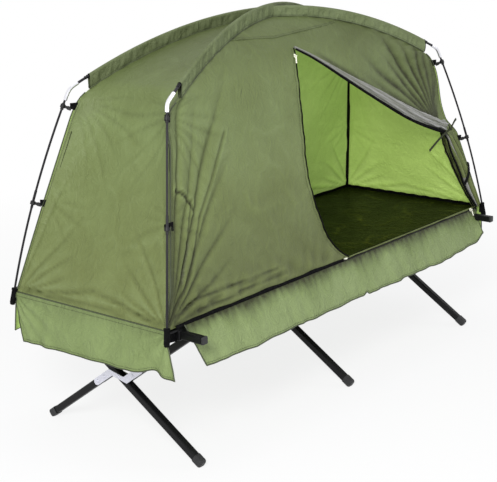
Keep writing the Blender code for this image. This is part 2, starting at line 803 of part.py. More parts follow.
def near_wall_y(x, z):
    """Outer face of the near panel away from its corners."""
    levels = corner_levels()
    for low, high in zip(levels, levels[1:]):
        if low.z <= z <= high.z:
            level = low.lerp(high, (z - low.z) / (high.z - low.z))
            half = level.x - PANEL_INSET
            return -panel_width(level, 1, x / half, ROOF_LINE_SHARE)
    return -BASE_Y


def near_panel(finish):
    made = panel("near_panel", 1, -1, finish)
    # The zip's row of teeth along the sill, which the bottom slider runs on
    start = DOOR_LEFT[0][0] - BOTTOM_SLIDER_X
    half = ZIP_TRACK_WIDTH / 2
    track = box("track", (start, SEAT_GAP, -half), (SLIDER[0], ZIP_LIFT + CLOTH / 2, half))
    track.data.transform(slider_frame("bottom"))
    fuse(made, track)
    reach = BASE_Y * 2
    rings = [[(p.x, y, p.y) for p in door_outline()] for y in (-reach, -TUBE * 2)]
    bm = loft(rings, True)
    bmesh.ops.recalc_face_normals(bm, faces=bm.faces)
    return shade(cut(made, mesh_object("door_cutter", bm, helper=True)))


def door_flap(finish):
    """The opened door, rolled along its upper edge, tied, and hanging below the tie."""
    top = Vector(DOOR_LEFT[-1])
    points = [top, *[Vector(point) for point in DOOR_RIGHT]]
    tie = 5
    path = []
    for i, point in enumerate(points):
        if i <= tie:
            radius = ROLL_THIN + (ROLL_THICK - ROLL_THIN) * (i / tie) ** 0.8
        else:
            radius = ROLL_THICK + (ROLL_TAIL - ROLL_THICK) * (i - tie) / (len(points) - 1 - tie)
        x, z = point
        slope = (near_wall_y(x, z + radius) - near_wall_y(x, z - radius)) / (2 * radius)
        y = near_wall_y(x, z) - (radius + 2 * SEAT_GAP) * math.sqrt(1 + slope * slope)
        path.append((x, y, z, radius / ROLL_THICK))
    return wire("door_flap", path, ROLL_THICK, finish)


def sleeve(name, sx, sy, lowered, finish):
    """Two layers of cloth from the roof seam up and over the pole, open along the seam."""
    rings = []
    turn = Vector((ARC_SPAN_X, ARC_SPAN_Y, 0)).normalized()
    across = Vector((-turn.y, turn.x, 0))
    for step in range(ROOF_STEPS + 1):
        share = SLEEVE_START_SHARE + (SLEEVE_END_SHARE - SLEEVE_START_SHARE) * step / ROOF_STEPS
        pole = arc_point(share, lowered)
        bottom = arc_point(share).z - SLEEVE_DROP + SEAT_GAP
        ring = []
        for half, direction in ((SLEEVE_HALF_WIDTH, 1), (SLEEVE_HALF_WIDTH - SLEEVE_CLOTH, -1)):
            arch = []
            for k in range(5):
                turned = math.radians(180 - 45 * k)
                arch.append((half * math.cos(turned), pole.z + half * math.sin(turned)))
            outline = [(-half, bottom), *arch, (half, bottom)]
            for offset, z in outline[::direction]:
                place = Vector((pole.x, pole.y, z)) + across * offset
                ring.append(Vector((sx * place.x, sy * place.y, place.z)))
        rings.append(ring)
    bm = loft(rings, True)
    bmesh.ops.recalc_face_normals(bm, faces=bm.faces)
    return shade(mesh_object(name, bm, finish))


# Bed and floor


def bed_sling(finish):
    """The bed cloth over both rails, with a lip down the outer side of each."""
    top = RAIL_Z + TUBE / 2 + SEAT_GAP
    inner = RAIL_Y + TUBE / 2 + SEAT_GAP
    outer = inner + SLING_CLOTH
    outline = (
        (-outer, top - SLING_LIP),
        (-inner, top - SLING_LIP),
        (-inner, top),
        (inner, top),
        (inner, top - SLING_LIP),
        (outer, top - SLING_LIP),
        (outer, top + SLING_CLOTH),
        (-outer, top + SLING_CLOTH),
    )
    # The lips stop short of the end bars' sockets
    lip_half = BAR_X - TUBE / 2 - SOCKET_WALL - 2 * SLING_CLOTH
    bm = loft([[(x, *point) for point in outline] for x in (-lip_half, lip_half)], True)
    bmesh.ops.recalc_face_normals(bm, faces=bm.faces)
    made = mesh_object("bed_sling", bm, finish)
    low = (-SLING_HALF_LENGTH, -outer, top)
    high = (SLING_HALF_LENGTH, outer, top + SLING_CLOTH)
    return fuse(made, box("sling_ends", low, high))


def tent_floor(finish):
    bottom = RAIL_Z + TUBE / 2 + 2 * SEAT_GAP + SLING_CLOTH
    half_x = BASE_X - CLOTH - SEAT_GAP
    half_y = BASE_Y - CLOTH - SEAT_GAP
    return box("tent_floor", (-half_x, -half_y, bottom), (half_x, half_y, bottom + FLOOR_CLOTH), finish)


# Zips


def slider_frame(kind):
    """Place of a slider: local X along the cloth's level line, local Z up the cloth, -Y outwards."""
    if kind == "side":
        top, low = Vector(DOOR_LEFT[-1]), Vector(DOOR_LEFT[-2])
        start = Vector((top.x, near_wall_y(top.x, top.y), top.y))
        end = Vector((low.x, near_wall_y(low.x, low.y), low.y))
        up = (start - end).normalized()
        place = start - up * SLIDER[2]
        place.x -= SLIDER[0] * 0.6
    else:
        place = Vector((BOTTOM_SLIDER_X, -BASE_Y, SEAM_Z))
        below = Vector((0, -SKIRT_SIDE_FLARE, SKIRT_BOTTOM_Z - SEAM_Z))
        up = -below.normalized()
    out = Vector((1, 0, 0)).cross(up).normalized()
    if out.y > 0:
        out = -out
    across = up.cross(out).normalized()
    across = -across if across.x < 0 else across
    back = -out
    frame = Matrix((across, back, up)).transposed().to_4x4()
    frame.translation = place + out * (ZIP_LIFT if kind == "bottom" else SLIDER_GAP)
    return frame


def zip_slider(kind, finish):
    """A slider body with the bridge that holds its pull."""
    width, depth, height = SLIDER
    made = box(f"{kind}_zip_slider", (-width / 2, -depth, -height / 2), (width / 2, 0, height / 2), finish)
    bevel = made.modifiers.new("edges", "BEVEL")
    bevel.width = depth * 0.25
    bevel.segments = 1
    bpy.context.view_layer.update()
    graph = bpy.context.evaluated_depsgraph_get()
    data = bpy.data.meshes.new_from_object(made.evaluated_get(graph))
    made.modifiers.clear()
    made.data = data
    pin = PULL_PIN_RADIUS
    half = PULL[0] / 2
    y = -depth - 2 * pin
    for side in (-1, 1):
        near, away = side * (half + 2 * SEAT_GAP), side * (half + 2 * SEAT_GAP + 2 * pin)
        low = (min(near, away), y - 2 * pin, -2 * pin)
        high = (max(near, away), -depth + pin, 2 * pin)
        fuse(made, box("lug", low, high))
    fuse(made, rod("bridge", (-half - 3 * pin, y, 0), (half + 3 * pin, y, 0), pin, RIVET_SIDES))
    made.data.transform(slider_frame(kind))
    return shade(made)


def zip_pull(kind, finish):
    """A flat pull that hangs from the slider's bridge."""
    width, depth, height = PULL
    pin = PULL_PIN_RADIUS
    y = -SLIDER[1] - 2 * pin
    hole = bore_radius(pin, RIVET_SIDES)
    name = f"{kind}_zip_pull"
    made = rod(name, (-width / 2, y, 0), (width / 2, y, 0), hole + PULL_EYE_WALL, RIVET_SIDES, finish)
    low = (-width / 2, y - depth / 2, -height)
    high = (width / 2, y + depth / 2, -pin)
    fuse(made, box("tongue", low, high))
    cut(made, rod("pin_bore", (-width, y, 0), (width, y, 0), hole, RIVET_SIDES, helper=True))
    made.data.transform(slider_frame(kind))
    return shade(made)


def hinge_empty(name, place):
    made = bpy.data.objects.new(name, None)
    PART.objects.link(made)
    made.location = place
    return made


def carry(empty, pieces):
    """Parents pieces to an empty on their joint's axis, without moving them."""
    bpy.context.view_layer.update()
    for piece in pieces:
        piece.parent = empty
        piece.matrix_parent_inverse = empty.matrix_world.inverted()


def build():
    tube = material("black_tube", TUBE_COLOUR, 0.42, 0.2)
    plug = material("grey_plug", PLUG_COLOUR, 0.55)
    silver = material("silver_metal", SILVER, 0.35, 1.0)
    pole = material("pole_fibre", POLE_COLOUR, 0.35)
    green = material("canopy_cloth", CLOTH_GREEN, 0.75)
    olive = material("floor_cloth", DARK_OLIVE, 0.4)
    black = material("bed_cloth", BLACK_CLOTH, 0.8)
    clip_plastic = material("clip_plastic", PLUG_COLOUR, 0.5)
    zip_metal = material("zip_metal", ZIP_WHITE, 0.4)
    skirt_green = material("flap_cloth", SKIRT_GREEN, 0.75)

    rail(-1, tube)
    far_rail = rail(1, tube)
    end_bar("left", -1, tube, plug)
    end_bar("right", 1, tube, plug)

    upper_start, pivot, lower_start, foot = half_ends()
    rivets = plate_rivets()
    broken, straight = [], []
    for label, x in LEG_STATIONS:
        straight.append(straight_leg(label, x, tube))
        leg_start = Vector((RAIL_Y, PIVOT_Z))
        near_foot = Vector((-FOOT_Y, FOOT_AXIS_Z))
        straight.append(foot_cap("foot_near_" + label, x, leg_start, near_foot, plug))
        rivets_here = (*rivets[:2], pivot)
        made = half_leg("upper_leg_" + label, x, upper_start, pivot, LEG_OVERHANG, rivets_here, tube)
        broken.append(made)
        broken.append(half_leg("lower_leg_" + label, x, lower_start, foot, 0.0, rivets[2:], tube))
        broken.append(cross_bracket(label, x, silver))
        broken.append(foot_cap("foot_far_" + label, x, lower_start, foot, plug))
    carry(hinge_empty("near_rail_pivot", (0, -RAIL_Y, PIVOT_Z)), broken)
    carry(hinge_empty("cross_pivot", (0, *cross_point())), straight)
    carry(hinge_empty("far_rail_pivot", (0, RAIL_Y, PIVOT_Z)), [far_rail])

    bed_sling(black)
    tent_floor(olive)
    near_panel(green)
    panel("far_panel", 1, 1, green)
    end_panel("left_panel", -1, green)
    end_panel("right_panel", 1, green)
    door_flap(skirt_green)

    arc_pole("roof_pole_upper", 1, 0.0, pole)
    arc_pole("roof_pole_lower", -1, ARC_CROSS_GAP, pole)
    parts = (
        ("lower_pole", (lower_pole(pole), None)),
        ("elbow", (elbow("elbow_upper", 0.0, silver), elbow("elbow_lower", ARC_CROSS_GAP, silver))),
        ("mid_clip", (clip("mid_clip", MID_CLIP_SHARE, MID_CLIP_SEAM, clip_plastic), None)),
        ("top_clip", (clip("top_clip", TOP_CLIP_SHARE, EAVE_SEAM, clip_plastic), None)),
    )
    for label, sx, sy in QUADRANTS:
        lowered = sx != sy
        for name, (first, second) in parts:
            mirrored(second if lowered and second else first, f"{name}_{label}", sx, sy)
        sleeve(f"sleeve_{label}", sx, sy, ARC_CROSS_GAP if lowered else 0.0, green)
    for _, sources in parts:
        for source in sources:
            if source:
                drop(source)

    for kind in ("side", "bottom"):
        slider = zip_slider(kind, zip_metal)
        pull = zip_pull(kind, zip_metal)
        frame = slider_frame(kind)
        bridge = frame @ Vector((0, -SLIDER[1] - 2 * PULL_PIN_RADIUS, 0))
        carry(hinge_empty(kind + "_zip_path", frame.translation), [slider])
        carry(hinge_empty(kind + "_pull_pivot", bridge), [pull])


clear_scene()
PART = new_collection("tent_cot")
CUTTERS = new_collection("cutters")
CUTTERS.hide_render = True
build()
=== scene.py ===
import math

import bmesh
import bpy
import numpy as np
from mathutils import Matrix, Vector


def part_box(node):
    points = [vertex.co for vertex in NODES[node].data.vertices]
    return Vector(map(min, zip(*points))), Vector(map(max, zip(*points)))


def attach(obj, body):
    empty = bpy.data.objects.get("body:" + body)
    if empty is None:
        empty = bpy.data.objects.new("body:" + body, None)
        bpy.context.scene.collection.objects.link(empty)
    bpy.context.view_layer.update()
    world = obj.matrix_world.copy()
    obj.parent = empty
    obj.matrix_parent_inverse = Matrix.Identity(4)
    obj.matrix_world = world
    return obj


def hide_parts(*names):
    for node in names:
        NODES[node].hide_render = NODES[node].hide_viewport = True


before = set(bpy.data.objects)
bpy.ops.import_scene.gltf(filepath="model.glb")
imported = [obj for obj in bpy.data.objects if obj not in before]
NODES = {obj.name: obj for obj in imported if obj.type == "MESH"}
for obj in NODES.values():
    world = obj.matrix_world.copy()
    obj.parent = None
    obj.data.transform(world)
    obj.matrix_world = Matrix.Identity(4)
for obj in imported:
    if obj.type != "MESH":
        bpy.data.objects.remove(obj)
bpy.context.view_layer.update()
ROOT = "tent_and_near_rail"

# Tent shape in metres, as the frame has it: base, corner seams and roof poles
BASE_X = 0.943
BASE_Y = 0.331
SEAM_Z = 0.480
CLIP_SEAM = (0.857, 0.265, 0.780)
EAVE_SEAM = (0.765, 0.196, 1.085)
ARC_SPAN_X = 0.780
ARC_SPAN_Y = 0.217
PEAK_Z = 1.345
ARC_DROP = 0.222
ARC_END_SHARE = 0.95
ARC_CROSS_GAP = 0.0105
SLEEVE_DROP = 0.042
SLEEVE_END_SHARE = 0.90
ROOF_LINE_SHARE = 0.66
END_LINE_SHARE = 0.84
POLE_FOOT = (0.955, 0.341, 0.446)
POLE_TOP = (0.787, 0.219, 1.095)
POLE_BOW = 0.018
ROOF_POLE_RADIUS = 0.0045
LOWER_POLE_RADIUS = 0.0036
SKIRT_BOTTOM_Z = 0.350
SKIRT_SIDE_FLARE = 0.056
SKIRT_END_FLARE = 0.034
FLOOR_TOP = 0.4757
FLOOR_HALF = (0.936, 0.324)
EDGING_INSET = 0.010
BED_LIP_HALF = 0.845
SLEEVE_HALF = 0.0062
SLEEVE_FOOT_HALF = 0.0030
SEAM_MARGIN = 0.007

# How finely the walls and skirts are divided, along and up: the end ones, then the side ones
WALL_GRID = ((130, 170), (270, 170))
SKIRT_GRID = ((170, 40), (430, 40))

# Thicknesses of cloth and tape, and radii of hems
WALL_CLOTH = 0.0016
BED_CLOTH = 0.0016
FLOOR_CLOTH = 0.0014
SLEEVE_CLOTH = 0.0011
SKIRT_CLOTH = 0.0012
TAIL_CLOTH = 0.0012
TAPE = 0.0012
SILL_TAPE = 0.0014
WEBBING = 0.003
HEM_RADIUS = 0.0024
FINE_RADIUS = 0.0012

# The door's outline as (x, z), counted from the bottom of its zip side, and the tie that holds the roll
DOOR_LEFT = (
    (-0.002, 0.4865),
    (-0.038, 0.508),
    (-0.086, 0.553),
    (-0.107, 0.604),
    (-0.127, 0.690),
    (-0.137, 0.760),
    (-0.134, 0.830),
    (-0.114, 0.920),
    (-0.092, 1.052),
    (-0.076, 1.150),
    (-0.063, 1.208),
)
DOOR_TOP = ((0.028, 1.166), (0.164, 1.088), (0.376, 0.972), (0.488, 0.912), (0.600, 0.864), (0.738, 0.818))
DOOR_RIGHT = ((0.748, 0.745), (0.800, 0.640), (0.825, 0.577), (0.890, 0.4865))
TIE = (0.752, 0.820)
TAIL_EDGES = (
    ((0.748, 0.812), (0.752, 0.740), (0.806, 0.645), (0.829, 0.575), (0.893, 0.490)),
    ((0.786, 0.812), (0.846, 0.735), (0.884, 0.650), (0.908, 0.585), (0.928, 0.492)),
)
QUARTERS = (("near_left", -1, -1), ("far_right", 1, 1), ("far_left", -1, 1), ("near_right", 1, -1))


# Small maths


def to_array(points):
    return np.array([tuple(point) for point in points], float)


def waves(a, *terms):
    """A sum of waves along a, each (height, rate, start)."""
    return sum(height * np.sin(a * rate + start) for height, rate, start in terms)


def bell(value, width):
    """1 at value 0, falling off smoothly to either side."""
    return np.exp(-((value / width) ** 2))


def facing(axis, sign, rise):
    """The outward direction of a side (axis 1) or an end (axis 0)."""
    return np.array((0, sign, rise) if axis else (sign, 0, rise))


def to_quarter(points, sx, sy):
    """Points of the +X +Y quarter, mirrored into another one."""
    return to_array(points) * np.array((sx, sy, 1.0))


def steps_between(start, end):
    """Six even steps from start to end."""
    return [start.lerp(end, k / 5) for k in range(6)]


def arc_lowered(sx, sy):
    """The roof poles cross at the peak: how much lower this quarter's pole runs there."""
    return ARC_CROSS_GAP if sx != sy else 0.0


def smooth(value):
    value = np.clip(value, 0.0, 1.0)
    return value * value * (3 - 2 * value)


def between(value, low, high):
    return smooth((value - low) / (high - low))


def arc_point(share, lowered=0.0):
    """A point of the roof pole's centre line: share 0 at the peak, in the +X +Y quarter."""
    drop = ARC_DROP - lowered / ARC_END_SHARE**2
    return Vector((ARC_SPAN_X * share, ARC_SPAN_Y * share, PEAK_Z - lowered - drop * share * share))


def roof_seam(share):
    return arc_point(share) - Vector((0, 0, SLEEVE_DROP))


def lower_pole_point(share):
    outward = Vector((1, 1, 0)).normalized()
    return Vector(POLE_FOOT).lerp(Vector(POLE_TOP), share) + outward * POLE_BOW * 4 * share * (1 - share)


def rounded_path(points, count):
    """A polyline through points with its corners cut twice, at even steps."""
    path = to_array(points)
    for _ in range(2):
        low, high = path[:-1] * 0.75 + path[1:] * 0.25, path[:-1] * 0.25 + path[1:] * 0.75
        middle = np.empty((2 * len(low), path.shape[1]))
        middle[0::2], middle[1::2] = low, high
        path = np.vstack([path[:1], middle, path[-1:]])
    steps = np.concatenate([[0.0], np.cumsum(np.linalg.norm(np.diff(path, axis=0), axis=1))])
    wanted = np.linspace(0.0, steps[-1], count)
    return np.stack([np.interp(wanted, steps, path[:, i]) for i in range(path.shape[1])], axis=1)


def corner_line(count):
    """Corner seam and roof seam from the base to near the peak, in the +X +Y quarter."""
    top_share = 0.004
    base, clip, eave = Vector((BASE_X, BASE_Y, SEAM_Z)), Vector(CLIP_SEAM), Vector(EAVE_SEAM)
    lower = [base, base.lerp(clip, 0.5), base.lerp(clip, 0.9)]
    upper = [clip, clip.lerp(eave, 0.12), clip.lerp(eave, 0.6), eave]
    roof = [roof_seam(SLEEVE_END_SHARE + (top_share - SLEEVE_END_SHARE) * i / 16) for i in range(17)]
    return rounded_path(lower + upper + roof, count)


def seam_at(z, count=300):
    """The corner seam's point at height z, in the +X +Y quarter."""
    line = corner_line(count)
    return np.stack([np.interp(z, line[:, 2], line[:, i]) for i in range(3)], axis=-1)


def wall_out(level, axis, share):
    """How far a wall stands from the middle plane: taut at its seams, drawn in between them."""
    line_share = ROOF_LINE_SHARE if axis else END_LINE_SHARE
    top = roof_seam(line_share)
    base = (BASE_X, BASE_Y)[axis]
    z = level[..., 2]
    part = (z - SEAM_Z) / (top.z - SEAM_Z)
    line = base + (top[axis] - base) * part
    corner = level[..., axis]
    drawn = corner - line
    ease = 0.020 * np.clip(part, 0.0, 1.0)
    drawn = np.where(part < 1.15, 0.5 * (drawn + np.sqrt(drawn * drawn + ease * ease)) - ease / 2, 0.0)
    drawn = np.maximum(drawn, 0.0) * (1 - between(part, 0.92, 1.12))
    return corner - drawn * (1 - np.abs(share) ** 3)


def rays(a, z, centre, table, seed=0.0, spread=0.030):
    """Creases that run out from a point: (degrees, length, depth) for each."""
    da, dz = a - centre[0], z - centre[1]
    total = np.zeros_like(a)
    for k, (degrees, reach, depth) in enumerate(table):
        turn = math.radians(degrees)
        along = da * math.cos(turn) + dz * math.sin(turn)
        aside = dz * math.cos(turn) - da * math.sin(turn)
        bend = 0.006 * np.sin(along * (11 + k % 3) + 2.1 * k + seed)
        aside = aside + bend * between(along / reach, 0.15, 0.7)
        width = 0.0045 + spread * np.clip(along, 0.0, reach)
        ridge = np.exp(-((np.abs(aside) / width) ** 1.25))
        total += depth * between(along, 0.004, 0.05) * (1 - between(along / reach, 0.5, 1.0)) * ridge
    return total


def creases(a, z, seed, depth, count=9, scale=7.0):
    """Faint crumpling: thin ridges in many directions, each strong only in patches."""
    pick = np.random.default_rng(seed)
    total = np.zeros_like(a)
    for _ in range(count):
        turn, pitch = pick.uniform(0, math.pi), scale * pick.uniform(0.6, 2.2)
        first, second, third = pick.uniform(0, 2 * math.pi, 3)
        run = (a * math.cos(turn) + z * math.sin(turn)) * pitch
        across = (a * math.sin(turn) - z * math.cos(turn)) * pitch
        bent = run + 0.5 * np.sin(across * 1.1 + first) + 0.2 * np.sin(across * 2.7 + second)
        patch = between(np.sin(across * 0.9 + third) * np.cos(run * 0.35 + first), 0.1, 0.9)
        total += patch * ((1 - np.abs(np.sin(bent))) ** 4 - 0.2) / pitch * scale
    return depth * total


# Mesh makers


def above_round(depth, passes):
    """How far each point of a grid stands above the cloth round it."""
    soft = depth
    for _ in range(passes):
        wide = np.pad(soft, 1, mode="edge")
        soft = (wide[:-2, 1:-1] + wide[2:, 1:-1] + wide[1:-1, :-2] + wide[1:-1, 2:] + 4 * soft) / 8
    return depth - soft


def near_line(a, z, points):
    """The distance from each point of a grid to a line of (a, z) points."""
    best = np.full(np.shape(a), 9.0)
    for first, last in zip(points[:-1], points[1:]):
        da, dz = last[0] - first[0], last[1] - first[1]
        part = np.clip(((a - first[0]) * da + (z - first[1]) * dz) / (da * da + dz * dz), 0, 1)
        best = np.minimum(best, np.hypot(a - first[0] - part * da, z - first[1] - part * dz))
    return best


def plain_object(name, data):
    made = bpy.data.objects.new(name, data)
    bpy.context.scene.collection.objects.link(made)
    return made


def settle(obj):
    """Modifiers applied, so that the piece is a plain mesh."""
    bpy.context.view_layer.update()
    graph = bpy.context.evaluated_depsgraph_get()
    data = bpy.data.meshes.new_from_object(obj.evaluated_get(graph))
    obj.modifiers.clear()
    if obj.type != "MESH":
        swapped = plain_object(obj.name + "_mesh", data)
        name = obj.name
        bpy.data.objects.remove(obj, do_unlink=True)
        swapped.name = name
        return swapped
    obj.data = data
    return obj


def smooth_shade(obj, degrees=45):
    obj.data.shade_smooth()
    obj.data.set_sharp_from_angle(angle=math.radians(degrees))
    return obj


def paint(obj, *materials):
    obj.data.materials.clear()
    for made in materials:
        obj.data.materials.append(made)
    return obj


def dress(obj, slot, *replaced):
    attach(obj, ROOT)
    if replaced:
        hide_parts(*replaced)
    return obj


def grid(name, points, wrap=False, marks=None):
    """A sheet of quads from rows of points, with a UV map in metres, and marks that shade its folds."""
    rows, cols, _ = points.shape
    index = np.arange(rows * cols).reshape(rows, cols)
    right = np.roll(index, -1, axis=1) if wrap else index[:, 1:]
    left = index if wrap else index[:, :-1]
    faces = np.stack([left[:-1], right[:-1], right[1:], left[1:]], axis=-1).reshape(-1, 4)
    data = bpy.data.meshes.new(name)
    data.from_pydata(points.reshape(-1, 3).tolist(), [], faces.tolist())
    across = np.linalg.norm(np.diff(points, axis=1), axis=2)
    up = np.linalg.norm(np.diff(points, axis=0), axis=2)
    u = np.concatenate([np.zeros((rows, 1)), np.cumsum(across, axis=1)], axis=1)
    v = np.concatenate([np.zeros((1, cols)), np.cumsum(up, axis=0)], axis=0)
    u -= u[:, cols // 2 : cols // 2 + 1]
    flat = np.stack([u.reshape(-1), v.reshape(-1)], axis=1)
    layer = data.uv_layers.new(name="cloth")
    loops = np.empty(len(data.loops), np.int32)
    data.loops.foreach_get("vertex_index", loops)
    layer.data.foreach_set("uv", flat[loops].reshape(-1).astype(np.float32))
    if marks is not None:
        shading = data.attributes.new("marks", "FLOAT", "POINT")
        shading.data.foreach_set("value", np.ascontiguousarray(marks, np.float32).reshape(-1))
    return plain_object(name, data)


def close_ends(obj):
    bm = bmesh.new()
    bm.from_mesh(obj.data)
    bmesh.ops.holes_fill(bm, edges=[edge for edge in bm.edges if edge.is_boundary], sides=0)
    bmesh.ops.recalc_face_normals(bm, faces=bm.faces)
    bm.to_mesh(obj.data)
    bm.free()
    return obj


def thicken(obj, thickness, offset=-1.0, inner=0):
    wall = obj.modifiers.new("cloth", "SOLIDIFY")
    wall.thickness = thickness
    wall.offset = offset
    wall.material_offset = inner
    wall.material_offset_rim = 0
    return settle(obj)


def face_out(obj, direction):
    """Turns a sheet's faces so that they look along direction on the whole."""
    total = Vector((0, 0, 0))
    for face in obj.data.polygons:
        total += face.normal * face.area
    if total.dot(Vector(direction)) < 0:
        obj.data.flip_normals()
    return obj


def normals_of(points):
    along = np.gradient(points, axis=1)
    up = np.gradient(points, axis=0)
    normal = np.cross(along, up)
    return normal / np.maximum(np.linalg.norm(normal, axis=2, keepdims=True), 1e-9)


def lay(name, rows, outward, finishes, thickness, slot, *replaced, marks=None, degrees=60):
    """One piece of cloth from rows of points, with its outer and inner finish."""
    made = paint(face_out(grid(name, rows, marks=marks), outward), *finishes)
    made = thicken(made, thickness, -1.0, inner=len(finishes) - 1)
    return dress(smooth_shade(made, degrees), slot, *replaced)


def tube(name, finish, points, radius, sides=8, flat=1.0):
    """A round or flattened bar along points; radius is one number or one for each point."""
    path = to_array(points)
    radii = np.broadcast_to(np.asarray(radius, float), (len(path),))
    tangent = np.gradient(path, axis=0)
    tangent /= np.linalg.norm(tangent, axis=1, keepdims=True)
    side = np.cross(tangent[0], (0, 0, 1) if abs(tangent[0][2]) < 0.9 else (1, 0, 0))
    turn = np.linspace(0, 2 * math.pi, sides, endpoint=False)
    rings = []
    for i, place in enumerate(path):
        side = side - tangent[i] * side.dot(tangent[i])
        side /= np.linalg.norm(side)
        up = np.cross(side, tangent[i])
        ring = np.outer(np.cos(turn), side) + np.outer(np.sin(turn), up) * flat
        rings.append(place + ring * radii[i])
    return paint(smooth_shade(close_ends(grid(name, np.array(rings), wrap=True)), 50), finish)


def ribbon(name, finish, points, widths, thickness, sideways):
    """A flat tape along points; sideways is the direction of its width."""
    path = to_array(points)
    widths = np.broadcast_to(np.asarray(widths, float), (len(path),))
    shares = np.linspace(-0.5, 0.5, 5)
    rows = path[:, None, :] + np.asarray(sideways, float) * (widths[:, None] * shares)[:, :, None]
    return paint(smooth_shade(thicken(grid(name, rows), thickness, 0.0), 40), finish)


def combined(name, pieces):
    """Several pieces as one object."""
    bm = bmesh.new()
    materials = []
    for piece in pieces:
        first = len(bm.faces)
        bm.from_mesh(piece.data)
        bm.faces.ensure_lookup_table()
        for material in piece.data.materials:
            if material not in materials:
                materials.append(material)
        for face in bm.faces[first:]:
            own = piece.data.materials
            face.material_index = materials.index(own[min(face.material_index, len(own) - 1)]) if own else 0
    data = bpy.data.meshes.new(name)
    bm.to_mesh(data)
    bm.free()
    for piece in pieces:
        bpy.data.objects.remove(piece, do_unlink=True)
    for material in materials:
        data.materials.append(material)
    return plain_object(name, data)


# Shader groups


class Nodes:
    """Adds nodes to one tree. Numbers and colours are set on sockets, outputs are linked to them."""

    def __init__(self, tree):
        self.tree = tree

    def join(self, value, socket):
        if isinstance(value, tuple):
            socket.default_value = (*value, 1.0)
        elif isinstance(value, (int, float)):
            socket.default_value = value
        elif value is not None:
            self.tree.links.new(value, socket)

    def add(self, kind, **inputs):
        node = self.tree.nodes.new(kind)
        for label, value in inputs.items():
            self.join(value, node.inputs[label.replace("_", " ")])
        return node

    def math(self, operation, first, second=None, clamp=False):
        node = self.add("ShaderNodeMath")
        node.operation = operation
        node.use_clamp = clamp
        self.join(first, node.inputs[0])
        self.join(second, node.inputs[1])
        return node.outputs[0]

    def times(self, first, second, clamp=False):
        return self.math("MULTIPLY", first, second, clamp)

    def plus(self, first, second):
        return self.math("ADD", first, second)

    def off_middle(self, value):
        return self.math("ABSOLUTE", self.math("SUBTRACT", value, 0.5))

    def mix(self, factor, first, second, blend="MIX"):
        node = self.add("ShaderNodeMix")
        node.data_type = "RGBA"
        node.blend_type = blend
        for slot, value in ((0, factor), (6, first), (7, second)):
            self.join(value, node.inputs[slot])
        return node.outputs[2]

    def noise(self, vector, scale, detail, roughness, distortion=0.0):
        node = self.add("ShaderNodeTexNoise", Vector=vector, Scale=scale, Detail=detail)
        self.join(roughness, node.inputs["Roughness"])
        self.join(distortion, node.inputs["Distortion"])
        return node.outputs["Fac"]

    def ramp(self, factor, low, high):
        return self.add("ShaderNodeMapRange", Value=factor, From_Min=low, From_Max=high).outputs["Result"]

    def bump(self, height, strength, distance, normal=None):
        node = self.add("ShaderNodeBump", Height=height, Strength=strength, Distance=distance, Normal=normal)
        return node.outputs["Normal"]

    def put_out(self, *values):
        """Ends a group: its colour, roughness and normal."""
        for value, socket in zip(values, self.add("NodeGroupOutput").inputs):
            self.join(value, socket)
        return self.tree

    def split(self, vector):
        return self.add("ShaderNodeSeparateXYZ", Vector=vector).outputs

    def scaled(self, vector, scale, rotation=(0.0, 0.0, 0.0)):
        node = self.add("ShaderNodeMapping", Vector=vector)
        node.inputs["Rotation"].default_value = rotation
        node.inputs["Scale"].default_value = scale
        return node.outputs["Vector"]

    def seen_directly(self):
        """1 for rays that come straight or by a mirror or glass from the camera."""
        path = self.add("ShaderNodeLightPath").outputs
        seen = self.math("MAXIMUM", path["Is Camera Ray"], path["Is Glossy Ray"])
        return self.math("MAXIMUM", seen, path["Is Transmission Ray"])


def new_group(name, inputs):
    """A group that puts out a colour, a roughness and a normal, with the inputs named."""
    tree = bpy.data.node_groups.new(name, "ShaderNodeTree")
    for label, value in inputs.items():
        kind = "NodeSocketColor" if isinstance(value, tuple) else "NodeSocketFloat"
        socket = tree.interface.new_socket(label, in_out="INPUT", socket_type=kind)
        socket.default_value = (*value, 1.0) if isinstance(value, tuple) else value
    for label, kind in (("Colour", "Color"), ("Roughness", "Float"), ("Normal", "Vector")):
        tree.interface.new_socket(label, in_out="OUTPUT", socket_type="NodeSocket" + kind)
    nodes = Nodes(tree)
    return nodes, nodes.add("NodeGroupInput").outputs, nodes.add("ShaderNodeTexCoord").outputs


